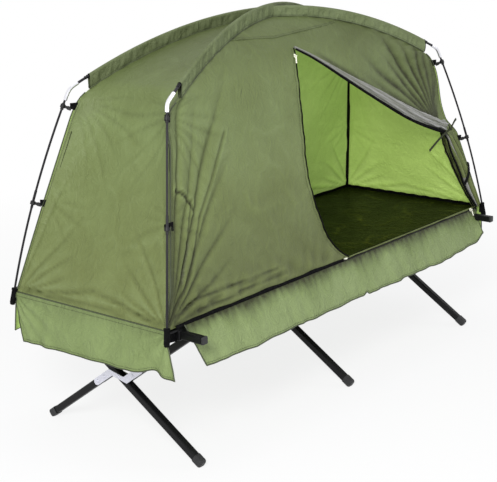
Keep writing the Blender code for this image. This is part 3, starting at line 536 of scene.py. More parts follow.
def cloth_group():
    """Coated tent cloth: plain weave, ripstop grid, pressed crumples, uneven dye, and painted shade and
    highlights in the creases and the mesh's marked folds.
    """
    thread_pitch, ripstop_pitch = 0.0012, 0.0065
    nodes, given, coords = new_group(
        "tent_cloth",
        {
            "Colour": (0.2, 0.28, 0.12),
            "Shade": (0.13, 0.18, 0.06),
            "Crumple": 0.5,
            "Sheen spread": 0.5,
            "Base roughness": 0.5,
            "Low colour": (1.0, 1.0, 1.0),
            "Deep": (0.026, 0.031, 0.006),
            "Lit": (0.270, 0.340, 0.160),
        },
    )
    place = coords["Object"]
    flat = nodes.split(coords["UV"])
    threads = [nodes.math("SINE", nodes.times(flat[i], 2 * math.pi / thread_pitch)) for i in (0, 1)]
    weave = nodes.times(*threads)
    lines = [nodes.math("COSINE", nodes.times(flat[i], 2 * math.pi / ripstop_pitch)) for i in (0, 1)]
    ripstop = nodes.math("MAXIMUM", *(nodes.ramp(line, 0.90, 1.0) for line in lines))
    # Uneven dye and crumpling, with painted shade along the crumples and in the pressed creases
    broad = nodes.noise(place, 5.0, 4.0, 0.55, 0.6)
    crumple = nodes.noise(place, 17.0, 5.0, 0.6, 1.4)
    ridges = nodes.off_middle(crumple)
    colour = nodes.mix(nodes.times(nodes.ramp(broad, 0.32, 0.68), 0.45), given["Colour"], given["Shade"])
    colour = nodes.mix(nodes.times(nodes.ramp(ridges, 0.10, 0.0), 0.14), colour, given["Shade"])
    streaks = nodes.noise(nodes.scaled(place, (1.0, 1.0, 0.28), (0.4, 0.5, 0.3)), 34.0, 2.0, 0.5, 0.3)
    pressed = nodes.times(nodes.ramp(nodes.off_middle(streaks), 0.07, 0.0), nodes.ramp(broad, 0.45, 0.68))
    colour = nodes.mix(nodes.times(nodes.times(pressed, given["Crumple"]), 0.10), colour, given["Deep"])
    darker = nodes.mix(1.0, colour, (0.86, 0.88, 0.84), "MULTIPLY")
    colour = nodes.mix(nodes.times(ripstop, 0.35), colour, darker)
    low = nodes.ramp(nodes.split(place)[2], 1.02, 0.50)
    colour = nodes.mix(low, colour, nodes.mix(1.0, colour, given["Low colour"], "MULTIPLY"))
    # The mesh's marks paint light and shade: below 0 painted shade deep in a fold, above 0 a painted
    # highlight on its lit side
    marks = nodes.add("ShaderNodeAttribute")
    marks.attribute_name = "marks"
    uneven = nodes.times(marks.outputs["Fac"], nodes.plus(crumple, 0.5))
    colour = nodes.mix(nodes.times(uneven, -1.0, clamp=True), colour, given["Deep"])
    colour = nodes.mix(nodes.times(uneven, 1.0, clamp=True), colour, given["Lit"])
    spread = nodes.times(given["Sheen spread"], 0.25)
    roughness = nodes.plus(nodes.times(broad, spread), given["Base roughness"])
    normal = nodes.bump(ridges, given["Crumple"], 0.015)
    normal = nodes.bump(nodes.math("SUBTRACT", 1.0, pressed), given["Crumple"], 0.0016, normal)
    normal = nodes.bump(broad, 0.25, 0.02, normal)
    normal = nodes.bump(nodes.plus(weave, nodes.times(ripstop, 1.5)), 0.25, 0.00012, normal)
    return nodes.put_out(colour, roughness, normal)


def webbing_group():
    """Woven tape: ribs along it and a dull uneven black."""
    nodes, given, coords = new_group("woven_tape", {"Colour": (0.01, 0.01, 0.01), "Rib pitch": 0.002})
    x, y, z = nodes.split(coords["Object"])
    total = nodes.plus(nodes.plus(x, y), z)
    ribs = nodes.math("SINE", nodes.math("DIVIDE", nodes.times(total, 2 * math.pi), given["Rib pitch"]))
    dust = nodes.noise(coords["Object"], 60.0, 4.0, 0.6)
    lighter = nodes.mix(1.0, given["Colour"], (0.02, 0.02, 0.02), "ADD")
    colour = nodes.mix(nodes.times(nodes.ramp(dust, 0.45, 0.75), 0.35), given["Colour"], lighter)
    return nodes.put_out(colour, nodes.plus(nodes.times(dust, 0.2), 0.62), nodes.bump(ribs, 0.5, 0.0004))


def coating_group():
    """Painted or bare metal: faint orange peel, rubbed patches and fine scratches along the tube."""
    nodes, given, coords = new_group(
        "metal_coat",
        {"Colour": (0.02, 0.02, 0.02), "Worn colour": (0.1, 0.1, 0.1), "Wear": 0.3, "Base roughness": 0.35},
    )
    place = coords["Object"]
    scratches = nodes.noise(nodes.scaled(place, (260.0, 14.0, 20.0)), 1.0, 4.0, 0.7)
    patches = nodes.noise(place, 22.0, 4.0, 0.6)
    peel = nodes.noise(place, 900.0, 2.0, 0.5)
    worn = nodes.times(nodes.ramp(scratches, 0.58, 0.75), nodes.ramp(patches, 0.45, 0.65))
    worn = nodes.times(worn, given["Wear"])
    colour = nodes.mix(worn, given["Colour"], given["Worn colour"])
    roughness = nodes.plus(given["Base roughness"], nodes.times(patches, 0.15))
    return nodes.put_out(colour, roughness, nodes.bump(peel, 0.12, 0.0004))


def moulded_group():
    """Moulded plastic: fine grain, slightly scuffed."""
    nodes, given, coords = new_group("moulded_grain", {"Colour": (0.05, 0.05, 0.05), "Scuff": 0.4})
    grain = nodes.noise(coords["Object"], 1400.0, 2.0, 0.5)
    scuffs = nodes.noise(coords["Object"], 70.0, 5.0, 0.7, 0.8)
    lighter = nodes.mix(1.0, given["Colour"], (0.045, 0.045, 0.045), "ADD")
    amount = nodes.times(nodes.ramp(scuffs, 0.5, 0.72), given["Scuff"])
    colour = nodes.mix(amount, given["Colour"], lighter)
    return nodes.put_out(colour, nodes.plus(nodes.times(scuffs, 0.25), 0.4), nodes.bump(grain, 0.25, 0.0003))


def finish_of(name, group, values, metallic=0.0, sheen=0.0, emission=0.0, specular=0.5):
    """A material whose look comes from one of the groups."""
    made = bpy.data.materials.new(name)
    made.use_nodes = True
    nodes = Nodes(made.node_tree)
    shader = made.node_tree.nodes["Principled BSDF"].inputs
    look = nodes.add("ShaderNodeGroup")
    look.node_tree = group
    for label, value in values.items():
        nodes.join(value, look.inputs[label])
    for label, socket in (("Colour", "Base Color"), ("Roughness", "Roughness"), ("Normal", "Normal")):
        nodes.join(look.outputs[label], shader[socket])
    shader["Metallic"].default_value = metallic
    shader["Specular IOR Level"].default_value = specular
    if sheen:
        shader["Sheen Weight"].default_value = sheen
        shader["Sheen Roughness"].default_value = 0.4
    if emission:
        nodes.join(look.outputs["Colour"], shader["Emission Color"])
        shader["Emission Strength"].default_value = emission
    return made


CLOTH_GROUP, TAPE_GROUP = cloth_group(), webbing_group()
COAT_GROUP, MOULD_GROUP = coating_group(), moulded_group()


def cloth(name, colour, shade, crumple, gloss=(), **values):
    given = {"Colour": colour, "Shade": shade, "Crumple": crumple}
    given.update((label.replace("_", " "), value) for label, value in values.items())
    return finish_of(name, CLOTH_GROUP, given, **dict(gloss))


def coated(name, colour, worn, wear, roughness, **gloss):
    given = {"Colour": colour, "Worn colour": worn, "Wear": wear, "Base roughness": roughness}
    return finish_of(name, COAT_GROUP, given, **gloss)


GREEN_GLOSS, INNER_LIT = {"specular": 0.35}, (0.5, 0.65, 0.2)
WALL_GREEN = cloth(
    "wall_green",
    (0.155, 0.200, 0.072),
    (0.104, 0.130, 0.036),
    0.50,
    GREEN_GLOSS,
    Low_colour=(0.94, 0.88, 0.80),
)
SKIRT_GREEN = cloth(
    "skirt_green", (0.200, 0.262, 0.098), (0.132, 0.178, 0.058), 0.70, GREEN_GLOSS, Lit=(0.34, 0.42, 0.20)
)
# Painted light: the inner faces glow, standing in for the light that comes through the cloth, with painted
# shade and highlights for their folds
INNER_GLOW = cloth(
    "inner_glow",
    (0.330, 0.470, 0.125),
    (0.230, 0.345, 0.075),
    0.6,
    {"emission": 0.37},
    Deep=(0.10, 0.17, 0.02),
    Lit=INNER_LIT,
)
INNER_GLOW_BRIGHT = cloth(
    "inner_glow_bright",
    (0.360, 0.495, 0.130),
    (0.250, 0.365, 0.075),
    0.6,
    {"emission": 0.44},
    Deep=(0.13, 0.20, 0.02),
    Lit=INNER_LIT,
)
SLEEVE_GREEN = cloth("sleeve_green", (0.160, 0.192, 0.098), (0.084, 0.104, 0.036), 0.8, {"specular": 0.1})
ROLL_GREY = cloth(
    "roll_grey", (0.250, 0.250, 0.230), (0.140, 0.146, 0.105), 0.6, {"sheen": 0.15}, Lit=(0.50, 0.49, 0.52)
)
HEM_GREEN = cloth("hem_green", (0.050, 0.064, 0.026), (0.034, 0.044, 0.016), 0.3)
FLOOR_OLIVE = cloth(
    "floor_olive",
    (0.013, 0.018, 0.0015),
    (0.003, 0.005, 0.0005),
    1.0,
    {"specular": 0.03},
    Base_roughness=0.30,
    Lit=(0.075, 0.085, 0.010),
)
BED_BLACK = cloth("bed_black", (0.010, 0.010, 0.011), (0.006, 0.006, 0.007), 0.2, {"specular": 0.2})
TAPE_BLACK = finish_of("tape_black", TAPE_GROUP, {"Colour": (0.0025, 0.0025, 0.003)}, specular=0.05)
TAPE_OLIVE = finish_of("tape_olive", TAPE_GROUP, {"Colour": (0.024, 0.030, 0.011)}, specular=0.2)
TUBE_BLACK = coated("tube_black", (0.004, 0.004, 0.0045), (0.04, 0.04, 0.042), 0.5, 0.36, specular=0.18)
PLATE_SILVER = coated("plate_silver", (0.70, 0.70, 0.78), (0.42, 0.42, 0.47), 0.6, 0.34, metallic=0.7)
ELBOW_SILVER = coated("elbow_silver", (0.76, 0.76, 0.80), (0.50, 0.50, 0.53), 0.3, 0.22, metallic=0.9)
POLE_DARK = coated("pole_dark", (0.008, 0.0075, 0.0095), (0.045, 0.04, 0.05), 0.5, 0.34, specular=0.25)
PLASTIC_GREY = finish_of("plastic_grey", MOULD_GROUP, {"Colour": (0.020, 0.020, 0.021)}, specular=0.3)
PLASTIC_BLACK = finish_of("plastic_black", MOULD_GROUP, {"Colour": (0.007, 0.007, 0.0075)}, specular=0.3)
ZIP_PALE = coated("zip_pale", (0.80, 0.80, 0.66), (0.45, 0.45, 0.38), 0.4, 0.30, metallic=0.3)
THREAD_DARK = finish_of("thread_dark", TAPE_GROUP, {"Colour": (0.030, 0.038, 0.016), "Rib pitch": 0.0008})


# Stitches, by one node tree that sets a thread along any line


def stitch_tree():
    tree = bpy.data.node_groups.new("stitch_row", "GeometryNodeTree")
    tree.is_modifier = True
    measures = [(label, "Float") for label in ("Pitch", "Length", "Thickness")]
    for label, kind in (("Geometry", "Geometry"), *measures, ("Material", "Material")):
        tree.interface.new_socket(label, in_out="INPUT", socket_type="NodeSocket" + kind)
    tree.interface.new_socket("Geometry", in_out="OUTPUT", socket_type="NodeSocketGeometry")
    kinds = ("CurveToPoints", "MeshCube", "InstanceOnPoints", "RealizeInstances", "SetMaterial")
    steps, thread, row, real, finish = (tree.nodes.new("GeometryNode" + kind) for kind in kinds)
    steps.mode = "LENGTH"
    given, out = tree.nodes.new("NodeGroupInput"), tree.nodes.new("NodeGroupOutput")
    size = tree.nodes.new("ShaderNodeCombineXYZ")
    for source, output, target, socket in (
        (given, "Geometry", steps, "Curve"),
        (given, "Pitch", steps, "Length"),
        (given, "Thickness", size, 0),
        (given, "Thickness", size, 1),
        (given, "Length", size, 2),
        (size, 0, thread, "Size"),
        (steps, "Points", row, "Points"),
        (steps, "Rotation", row, "Rotation"),
        (thread, "Mesh", row, "Instance"),
        (row, "Instances", real, "Geometry"),
        (real, "Geometry", finish, "Geometry"),
        (given, "Material", finish, "Material"),
        (finish, "Geometry", out, "Geometry"),
    ):
        tree.links.new(source.outputs[output], target.inputs[socket])
    return tree


STITCH_TREE = stitch_tree()


def stitches(name, lines, finish, slot, pitch=0.006, length=0.0038, thickness=0.0008):
    """Rows of stitches along polylines, as one plain mesh."""
    curve = bpy.data.curves.new(name, "CURVE")
    curve.dimensions = "3D"
    for line in lines:
        spline = curve.splines.new("POLY")
        spline.points.add(len(line) - 1)
        spline.points.foreach_set("co", [value for point in line for value in (*point, 1.0)])
    guide = plain_object(name, curve)
    modifier = guide.modifiers.new("stitches", "NODES")
    modifier.node_group = STITCH_TREE
    values = {"Pitch": pitch, "Length": length, "Thickness": thickness, "Material": finish}
    for item in STITCH_TREE.interface.items_tree:
        if item.in_out == "INPUT" and item.name in values:
            modifier[item.identifier] = values[item.name]
    return dress(settle(guide), slot)


# Camera, fitted to the photograph's straight tubes


def add_camera():
    yaw, pitch, roll = 0.896, -0.267, -0.017
    place = (-3.394, -2.658, 1.673)
    focal, wide, high, middle_x, middle_y = 1217.5, 497, 482, 262.76, 240.25
    forward = Vector((math.cos(pitch) * math.sin(yaw), math.cos(pitch) * math.cos(yaw), math.sin(pitch)))
    level = Vector((math.cos(yaw), -math.sin(yaw), 0.0))
    up = level.cross(forward)
    right = level * math.cos(roll) + up * math.sin(roll)
    top = -level * math.sin(roll) + up * math.cos(roll)
    data = bpy.data.cameras.new("camera")
    data.sensor_width = 36.0
    data.lens = focal / wide * data.sensor_width
    data.shift_x = (wide / 2 - middle_x) / wide
    data.shift_y = (middle_y - high / 2) / wide
    camera = plain_object("camera", data)
    turned = Matrix((right, top, -forward)).transposed().to_4x4()
    camera.matrix_world = Matrix.Translation(place) @ turned
    bpy.context.scene.camera = camera


def add_stage():
    """A grey studio that looks white to the camera, a pale floor and three lamps."""
    scene = bpy.context.scene
    scene.view_settings.view_transform = "Standard"
    world = bpy.data.worlds.new("studio")
    scene.world = world
    world.use_nodes = True
    nodes = Nodes(world.node_tree)
    colour = nodes.mix(nodes.seen_directly(), (0.40, 0.41, 0.43), (1.0, 1.0, 1.0))
    nodes.join(colour, world.node_tree.nodes["Background"].inputs["Color"])
    data = bpy.data.meshes.new("floor")
    corners = [(x, y, 0.0) for y in (-60.0, 60.0) for x in (-60.0, 60.0)]
    data.from_pydata(corners, [], [(0, 1, 3, 2)])
    floor = plain_object("floor", data)
    floor.location.z = -0.0006
    made = bpy.data.materials.new("pale_floor")
    made.use_nodes = True
    shader = made.node_tree.nodes["Principled BSDF"]
    shader.inputs["Base Color"].default_value = (0.93, 0.93, 0.93, 1.0)
    shader.inputs["Roughness"].default_value = 0.9
    shader.inputs["Specular IOR Level"].default_value = 0.1
    # It glows white for the camera, a little less near the cot, so that a soft shadow stays
    nodes = Nodes(made.node_tree)
    seen = nodes.seen_directly()
    length = nodes.add("ShaderNodeVectorMath")
    length.operation = "LENGTH"
    nodes.join(nodes.add("ShaderNodeTexCoord").outputs["Object"], length.inputs[0])
    away = nodes.ramp(length.outputs["Value"], 1.2, 3.4)
    near_white = 0.82
    white = nodes.plus(nodes.times(away, 1 - near_white), near_white)
    glow = nodes.add("ShaderNodeEmission", Color=(1.0, 1.0, 1.0))
    both = nodes.add("ShaderNodeMixShader")
    for slot, value in enumerate((nodes.times(white, seen), shader.outputs[0], glow.outputs[0])):
        nodes.join(value, both.inputs[slot])
    nodes.join(both.outputs[0], made.node_tree.nodes["Material Output"].inputs["Surface"])
    paint(floor, made)
    target = Vector((0.0, 0.0, 0.7))
    for name, energy, size, place in (
        ("key", 285.0, 1.6, (-4.6, -2.6, 3.4)),
        ("top", 36.0, 4.0, (0.6, 0.4, 5.0)),
        ("fill", 45.0, 2.5, (3.6, -4.2, 2.2)),
    ):
        lamp = bpy.data.lights.new(name, "AREA")
        lamp.energy = energy
        lamp.size = size
        holder = plain_object(name, lamp)
        holder.location = place
        holder.rotation_euler = (target - Vector(place)).to_track_quat("-Z", "Y").to_euler()


# Folds: each ray of a table is (degrees, length, depth), counted from its own corner


TUCK = ((-0.806, 0.864), (-0.784, 0.853), (-0.762, 0.836), (-0.745, 0.812), (-0.734, 0.790))
LONG_FOLDS = (
    ((-0.898, 0.508), (-0.798, 0.536), (-0.658, 0.540), (-0.538, 0.532), (-0.398, 0.536)),
    ((-0.790, 0.500), (-0.654, 0.504), (-0.510, 0.516), (-0.354, 0.516)),
    ((-0.930, 0.490), (-0.866, 0.568), (-0.826, 0.648), (-0.798, 0.684), (-0.738, 0.824)),
    ((-0.920, 0.500), (-0.798, 0.620), (-0.762, 0.676), (-0.706, 0.772), (-0.626, 0.856), (-0.514, 0.992)),
)
BASE_RAYS = (
    (178, 0.34, -0.007),
    (170, 0.42, -0.008),
    (160, 0.26, -0.006),
    (147, 0.32, -0.005),
    (130, 0.38, -0.005),
    (110, 0.50, -0.004),
)
EAVE_RAYS = (
    (172, 0.20, -0.003),
    (189, 0.30, -0.004),
    (205, 0.34, -0.005),
    (223, 0.30, -0.004),
    (241, 0.36, -0.004),
    (257, 0.28, -0.003),
)
CLIP_RAYS = ((160, 0.14, -0.003), (183, 0.20, -0.003), (207, 0.22, -0.004), (233, 0.20, -0.003))
POCKET_RAYS = (
    (86, 0.62, -0.006),
    (81, 0.88, -0.009),
    (75, 0.72, -0.006),
    (69, 1.00, -0.010),
    (62, 0.80, -0.006),
    (55, 0.95, -0.009),
    (46, 0.70, -0.006),
    (35, 0.55, -0.006),
    (22, 0.42, -0.005),
    (9, 0.36, -0.004),
)
TIE_RAYS = (
    (85, 0.26, -0.009),
    (91, 0.34, -0.012),
    (98, 0.44, -0.014),
    (105, 0.46, -0.015),
    (113, 0.56, -0.015),
    (121, 0.50, -0.014),
    (129, 0.62, -0.014),
    (137, 0.52, -0.012),
    (144, 0.64, -0.012),
    (151, 0.60, -0.009),
)
TAIL_RAYS = (
    (246, 0.30, -0.010),
    (262, 0.34, -0.012),
    (280, 0.34, -0.012),
    (297, 0.30, -0.010),
    (316, 0.20, -0.007),
)


def common_folds(along, z, axis, seed, feet=(-1, 1), eaves=(-1, 1)):
    """Folds that every wall has: from its base corners, its clips and its eaves, and faint crumpling."""
    base = (BASE_Y, BASE_X)[axis]
    clip, eave = CLIP_SEAM[1 - axis], EAVE_SEAM[1 - axis]
    total = creases(along, z, seed, 0.0026)
    total += creases(along, z, seed + 50, 0.0017, count=8, scale=17.0)
    for side in feet:
        total += rays(along * side, z, (base, SEAM_Z), BASE_RAYS, seed + side, spread=0.012)
    for side in eaves:
        total += 0.6 * rays(along * side, z, (clip, CLIP_SEAM[2]), CLIP_RAYS, seed + 2 * side, spread=0.016)
        total += 0.6 * rays(along * side, z, (eave, EAVE_SEAM[2]), EAVE_RAYS, seed + 3 * side, spread=0.014)
    return total


def pulled_folds(x, z):
    """The door side's pulled folds: long ones up from the left foot, and the gathers at the tie."""
    left = rays(x, z, (-BASE_X, SEAM_Z), POCKET_RAYS, 0.4, spread=0.014)
    gathers = rays(x, z, (TIE[0] + 0.024, TIE[1] + 0.004), TIE_RAYS, 1.1, spread=0.034)
    gathers += rays(x, z, (TIE[0] + 0.020, TIE[1]), TAIL_RAYS, 2.3)
    return left, gathers


def near_folds(x, z, edge):
    left, gathers = pulled_folds(x, z)
    total = left * between(edge, 0.0, 0.05) + gathers * between(edge, 0.03, 0.22)
    # The short tuck under the left middle clip, then the long pressed folds
    away = near_line(x, z, TUCK)
    total += 0.006 * bell(away, 0.016) - 0.009 * bell(away, 0.007)
    for line in LONG_FOLDS:
        away = near_line(x, z, line)
        total += 0.003 * bell(away, 0.016) - 0.005 * bell(away, 0.006)
    # Pinched folds just above the sill
    low = (1 - between(z, SEAM_Z + 0.015, SEAM_Z + 0.13)) * between(z, SEAM_Z + 0.004, SEAM_Z + 0.03)
    total += 0.0018 * low * np.sin(x * 46 + z * 60 + 0.8 * np.sin(x * 17))
    total += 0.0012 * low * np.sin(x * 97 - z * 40 + np.sin(x * 31))
    return total


def near_marks(x, z):
    """Where the door side is painted darker: low down and by the left seam, with a painted shadow over the
    roll and painted shade in its folds and along the tuck.
    """
    left, gathers = pulled_folds(x, z)
    marks = 30 * left + 46 * gathers
    marks -= 0.30 * (1 - between(z, 0.55, 0.88)) + 0.15 * between(x, 0.0, 0.40) * between(z, 0.75, 0.9)
    marks -= 0.24 * (1 - between(x, -0.92, -0.66)) * (1 - between(z, 0.80, 1.0))
    marks -= 0.38 * bell(near_line(x, z, TUCK), 0.006)
    # A painted shadow along the line just above the roll, fading in at its left end
    roll = [(x0, z0 + 0.023 + 0.040 * (x0 + 0.06)) for x0, z0 in DOOR_TOP]
    marks -= 0.70 * bell(near_line(x, z, roll), 0.009) * between(x, 0.02, 0.12)
    for line in LONG_FOLDS:
        marks -= 0.24 * bell(near_line(x, z, line), 0.008)
    return marks


def waist(points):
    """The near corner seams off their plain curves: the tie draws the right one in, the left one leans."""
    drawn_in, leaning = 0.027, 0.014
    points = np.asarray(points, float)
    x, y, z = points[..., 0], points[..., 1], points[..., 2]
    seam = seam_at(z)
    across, back = seam[..., 0], -seam[..., 1]
    pull = drawn_in * between(z, 0.785, 0.855) * (1 - between(z, 0.875, 1.06))
    pull = pull * bell(np.hypot(x - across, y - back), 0.10)
    lean = leaning * between(z, 0.49, 0.60) * (1 - between(z, 0.97, 1.07))
    lean = lean * bell(np.hypot(x + across, y - back), 0.12)
    pulled, leant = np.array((-0.7, 0.7, 0.0)), np.array((1.0, -0.3, 0.0))
    return points + pull[..., None] * pulled + lean[..., None] * leant


def placed(points, sx, sy):
    """Points on a corner seam, in their quarter and with the near seams' waist."""
    points = to_quarter(points, sx, sy)
    return waist(points) if sy < 0 else points


# Tent walls


def wall_rows(axis, sign, cols, rows):
    """Points of one wall before its folds, with the distance along it and its rows' shares."""
    corner = corner_line(rows)
    steps = np.linspace(-1.0, 1.0, cols)
    shares = (steps + np.sin(steps * math.pi / 2)) / 2
    level = np.repeat(corner[:, None, :], cols, axis=1)
    share = np.broadcast_to(shares, (rows, cols))
    out = wall_out(level, axis, share) * sign
    along = level[..., 1 - axis] * share
    parts = (along, out, level[..., 2]) if axis else (out, along, level[..., 2])
    return np.stack(parts, axis=-1), along, share


def wall(name, axis, sign, seed):
    points, along, share = wall_rows(axis, sign, *WALL_GRID[axis])
    z, edge = points[..., 2], 1 - np.abs(share)
    door_side = axis == 1 and sign < 0
    if door_side:
        depth = 1.3 * common_folds(along, z, axis, seed, feet=(1,), eaves=(-1,))
        depth += 1.25 * near_folds(along, z, edge)
    elif axis:
        depth = 1.3 * common_folds(along, z, axis, seed)
        depth += creases(along * 1.5, z * 0.3, seed + 80, 0.0016)
    else:
        depth = common_folds(along, z, axis, seed)
        depth -= 0.004 * bell(z - 0.497 + 0.004 * np.sin(along * 9), 0.007)
        depth += creases(along * 0.3, z * 1.5, seed + 80, 0.0026 if sign > 0 else 0.0008)
    # Painted shade in the fold hollows and painted highlights on the ridges, painted shade on the roof, and
    # on the end walls just under the roof
    marks = np.clip(above_round(depth, 12) * 105, -0.70, 0.35) - 0.28 * between(z, 1.12, 1.24)
    if not axis:
        marks -= 0.16 * between(z, 0.98, 1.10)
    if door_side:
        marks += near_marks(along, z)
    # Puckers by the elbows; taut at the seams and flatter on the roof
    depth = depth + 0.0022 * np.sin(z * 250 + seed) * bell(edge, 0.06) * between(z, 1.10, 1.13)
    depth = depth * between(edge, 0.0, 0.022 if axis else 0.06) * between(z, SEAM_Z, SEAM_Z + 0.02)
    depth = depth * (1 - 0.55 * between(z, 1.17, 1.28))
    normal = normals_of(points)
    outward = facing(axis, sign, 0.3)
    normal *= np.sign((normal * outward).sum(axis=2).mean())
    made = face_out(grid(name, waist(points + normal * depth[..., None]), marks=marks), outward)
    # The right end's inner face glows brighter, as painted light
    paint(made, WALL_GREEN, INNER_GLOW_BRIGHT if not axis and sign > 0 else INNER_GLOW)
    return thicken(made, WALL_CLOTH, -1.0, inner=1)


def door_line(spacing):
    """The door's edge as (x, z): up the zip side, down along the roll, and down the hanging flap."""
    left = rounded_path(DOOR_LEFT, spacing)
    left[1:-1, 0] += waves(left[1:-1, 1], (0.0014, 71, 0), (0.0008, 173, 0))
    top = rounded_path([DOOR_LEFT[-1], *DOOR_TOP], spacing)
    right = rounded_path([DOOR_TOP[-1], *DOOR_RIGHT], spacing)
    return left, top, right


def cut_door(made):
    left, top, right = door_line(60)
    outline = np.vstack([left, top[1:], right[1:]])
    rings = [[(x, y, z) for x, z in outline] for y in (-0.6, -0.03)]
    cutter = close_ends(grid("door_cutter", np.array(rings), wrap=True))
    opening = made.modifiers.new("door", "BOOLEAN")
    opening.operation = "DIFFERENCE"
    opening.object = cutter
    settle(made)
    bpy.data.objects.remove(cutter, do_unlink=True)


def near_surface(x, z, lift=0.0):
    """The near wall's outer face at (x, z), with its folds left out."""
    level = seam_at(z, 400)
    out = float(wall_out(level, 1, x / max(level[0], 1e-6)))
    return Vector((x, -out - lift, z))


def add_walls():
    for side, axis, sign, seed, flat, area in (
        ("near", 1, -1, 3, (1.92, 1.03), 1.15),
        ("far", 1, 1, 11, (1.92, 1.03), 1.50),
        ("left", 0, -1, 24, (0.72, 1.30), 0.66),
        ("right", 0, 1, 37, (0.72, 1.30), 0.66),
    ):
        made = wall(f"{side}_wall", axis, sign, seed)
        if side == "near":
            cut_door(made)
        dress(smooth_shade(made, 60), "canopy_cloth", f"{side}_panel")


def beside_seam(axis, sx, sy, z):
    """A point on a wall's outer face, a margin in from its corner seam at height z."""
    level = seam_at(z)
    inset = level[1 - axis] - SEAM_MARGIN
    out = float(wall_out(level, axis, inset / level[1 - axis])) + 0.0020
    return (sx * inset, sy * out, z) if axis else (sx * out, sy * inset, z)


def add_seams():
    """Rolled seams up the corners, the seam over the door, and their stitches."""
    lines, pieces = [], []
    plain = corner_line(240)
    plain = plain[plain[:, 2] < EAVE_SEAM[2] + 0.03] + np.array((0.001, 0.0005, 0.0))
    levels = np.linspace(SEAM_Z + 0.012, EAVE_SEAM[2], 120)
    for _, sx, sy in QUARTERS:
        pieces.append(tube("seam", HEM_GREEN, placed(plain, sx, sy), HEM_RADIUS))
        for axis in (0, 1):
            lines.append(waist([beside_seam(axis, sx, sy, z) for z in levels]))
    dress(combined("corner_seams", pieces), "canopy_cloth")
    xs = np.linspace(-0.385, 0.262, 60)
    zs = np.interp(xs, (-0.385, -0.13, 0.212, 0.262), (1.262, 1.248, 1.264, 1.270))
    path = to_array(near_surface(x, z, 0.0022) for x, z in zip(xs, zs))
    dress(tube("front_seam", SLEEVE_GREEN, path, FINE_RADIUS, 6), "canopy_cloth")
    lines.append(path + np.array((0, -0.002, 0.006)))
    stitches("corner_stitches", lines, THREAD_DARK, "canopy_cloth")


def sleeve_rows(sx, sy, seed):
    """Cloth from the roof seam up one side of the pole, over it and down the other side."""
    turn = Vector((ARC_SPAN_X, ARC_SPAN_Y, 0)).normalized()
    across = np.array((-turn.y, turn.x, 0.0))
    phases = np.random.default_rng(seed).uniform(0, 2 * math.pi, 6)
    result = []
    for share in np.linspace(0.0, SLEEVE_END_SHARE, 150):
        pole = np.array(arc_point(share, arc_lowered(sx, sy)))
        bottom = roof_seam(share).z + 0.0006
        sway = waves(share, (0.0022, 95, phases[0]), (0.0016, 211, phases[1]), (0.0030, 34, phases[2]))
        rising = []
        for k in range(7):
            part = k / 6
            width = SLEEVE_FOOT_HALF + (SLEEVE_HALF - SLEEVE_FOOT_HALF) * part**0.8
            rising.append((width, sway * math.sin(math.pi * part) * 0.9, bottom + (pole[2] - bottom) * part))
        outline = [(wave - width, z) for width, wave, z in rising]
        for k in range(1, 8):
            turned = math.pi - math.pi * k / 8
            outline.append((SLEEVE_HALF * math.cos(turned), pole[2] + SLEEVE_HALF * math.sin(turned)))
        outline += [(wave + width, z) for width, wave, z in reversed(rising)]
        result.append([(*(pole + across * offset)[:2], z) for offset, z in outline])
    return np.array(result) * np.array((sx, sy, 1.0))


def add_sleeves():
    lines, bindings = [], []
    for number, (label, sx, sy) in enumerate(QUARTERS):
        rows = sleeve_rows(sx, sy, 60 + number)
        # Painted light: the far sleeves are painted darker towards their sides, the near ones lighter there
        shade = (-0.30 if sy > 0 else 0.16) * np.abs(np.linspace(-1.0, 1.0, rows.shape[1])) ** 0.5
        made = lay(
            f"pole_sleeve_{label}",
            rows,
            (0, 0, 1),
            [SLEEVE_GREEN],
            SLEEVE_CLOTH,
            "canopy_cloth",
            f"sleeve_{label}",
            marks=np.broadcast_to(shade, rows.shape[:2]),
        )
        for column in (0, -1):
            bindings.append(tube("binding", HEM_GREEN, rows[:, column] - np.array((0, 0, 0.0004)), 0.0016, 6))
        for column in (1, -2):
            lines.append(rows[:, column] + (rows[:, column] - rows[:, 9]) * 0.02)
        bindings.append(tube("mouth", TAPE_BLACK, rows[-1], FINE_RADIUS, 6))
    dress(combined("sleeve_bindings", bindings), "canopy_cloth")
    stitches("sleeve_stitches", lines, THREAD_DARK, "canopy_cloth")


# Skirts


SKIRTS = {
    # Axis and side, where the top edge starts and ends, where the hem does, and how far the hem drops there
    "near_skirt": (1, -1, (-0.868, 0.888), (-0.833, 0.874), (0.0, 0.0)),
    "far_skirt": (1, 1, (-0.868, 0.868), (-0.845, 0.845), (0.0, 0.0)),
    "left_skirt": (0, -1, (-0.331, 0.331), (-0.389, 0.272), (0.004, 0.020)),
    "right_skirt": (0, 1, (-0.331, 0.331), (-0.322, 0.300), (0.0, 0.0)),
}


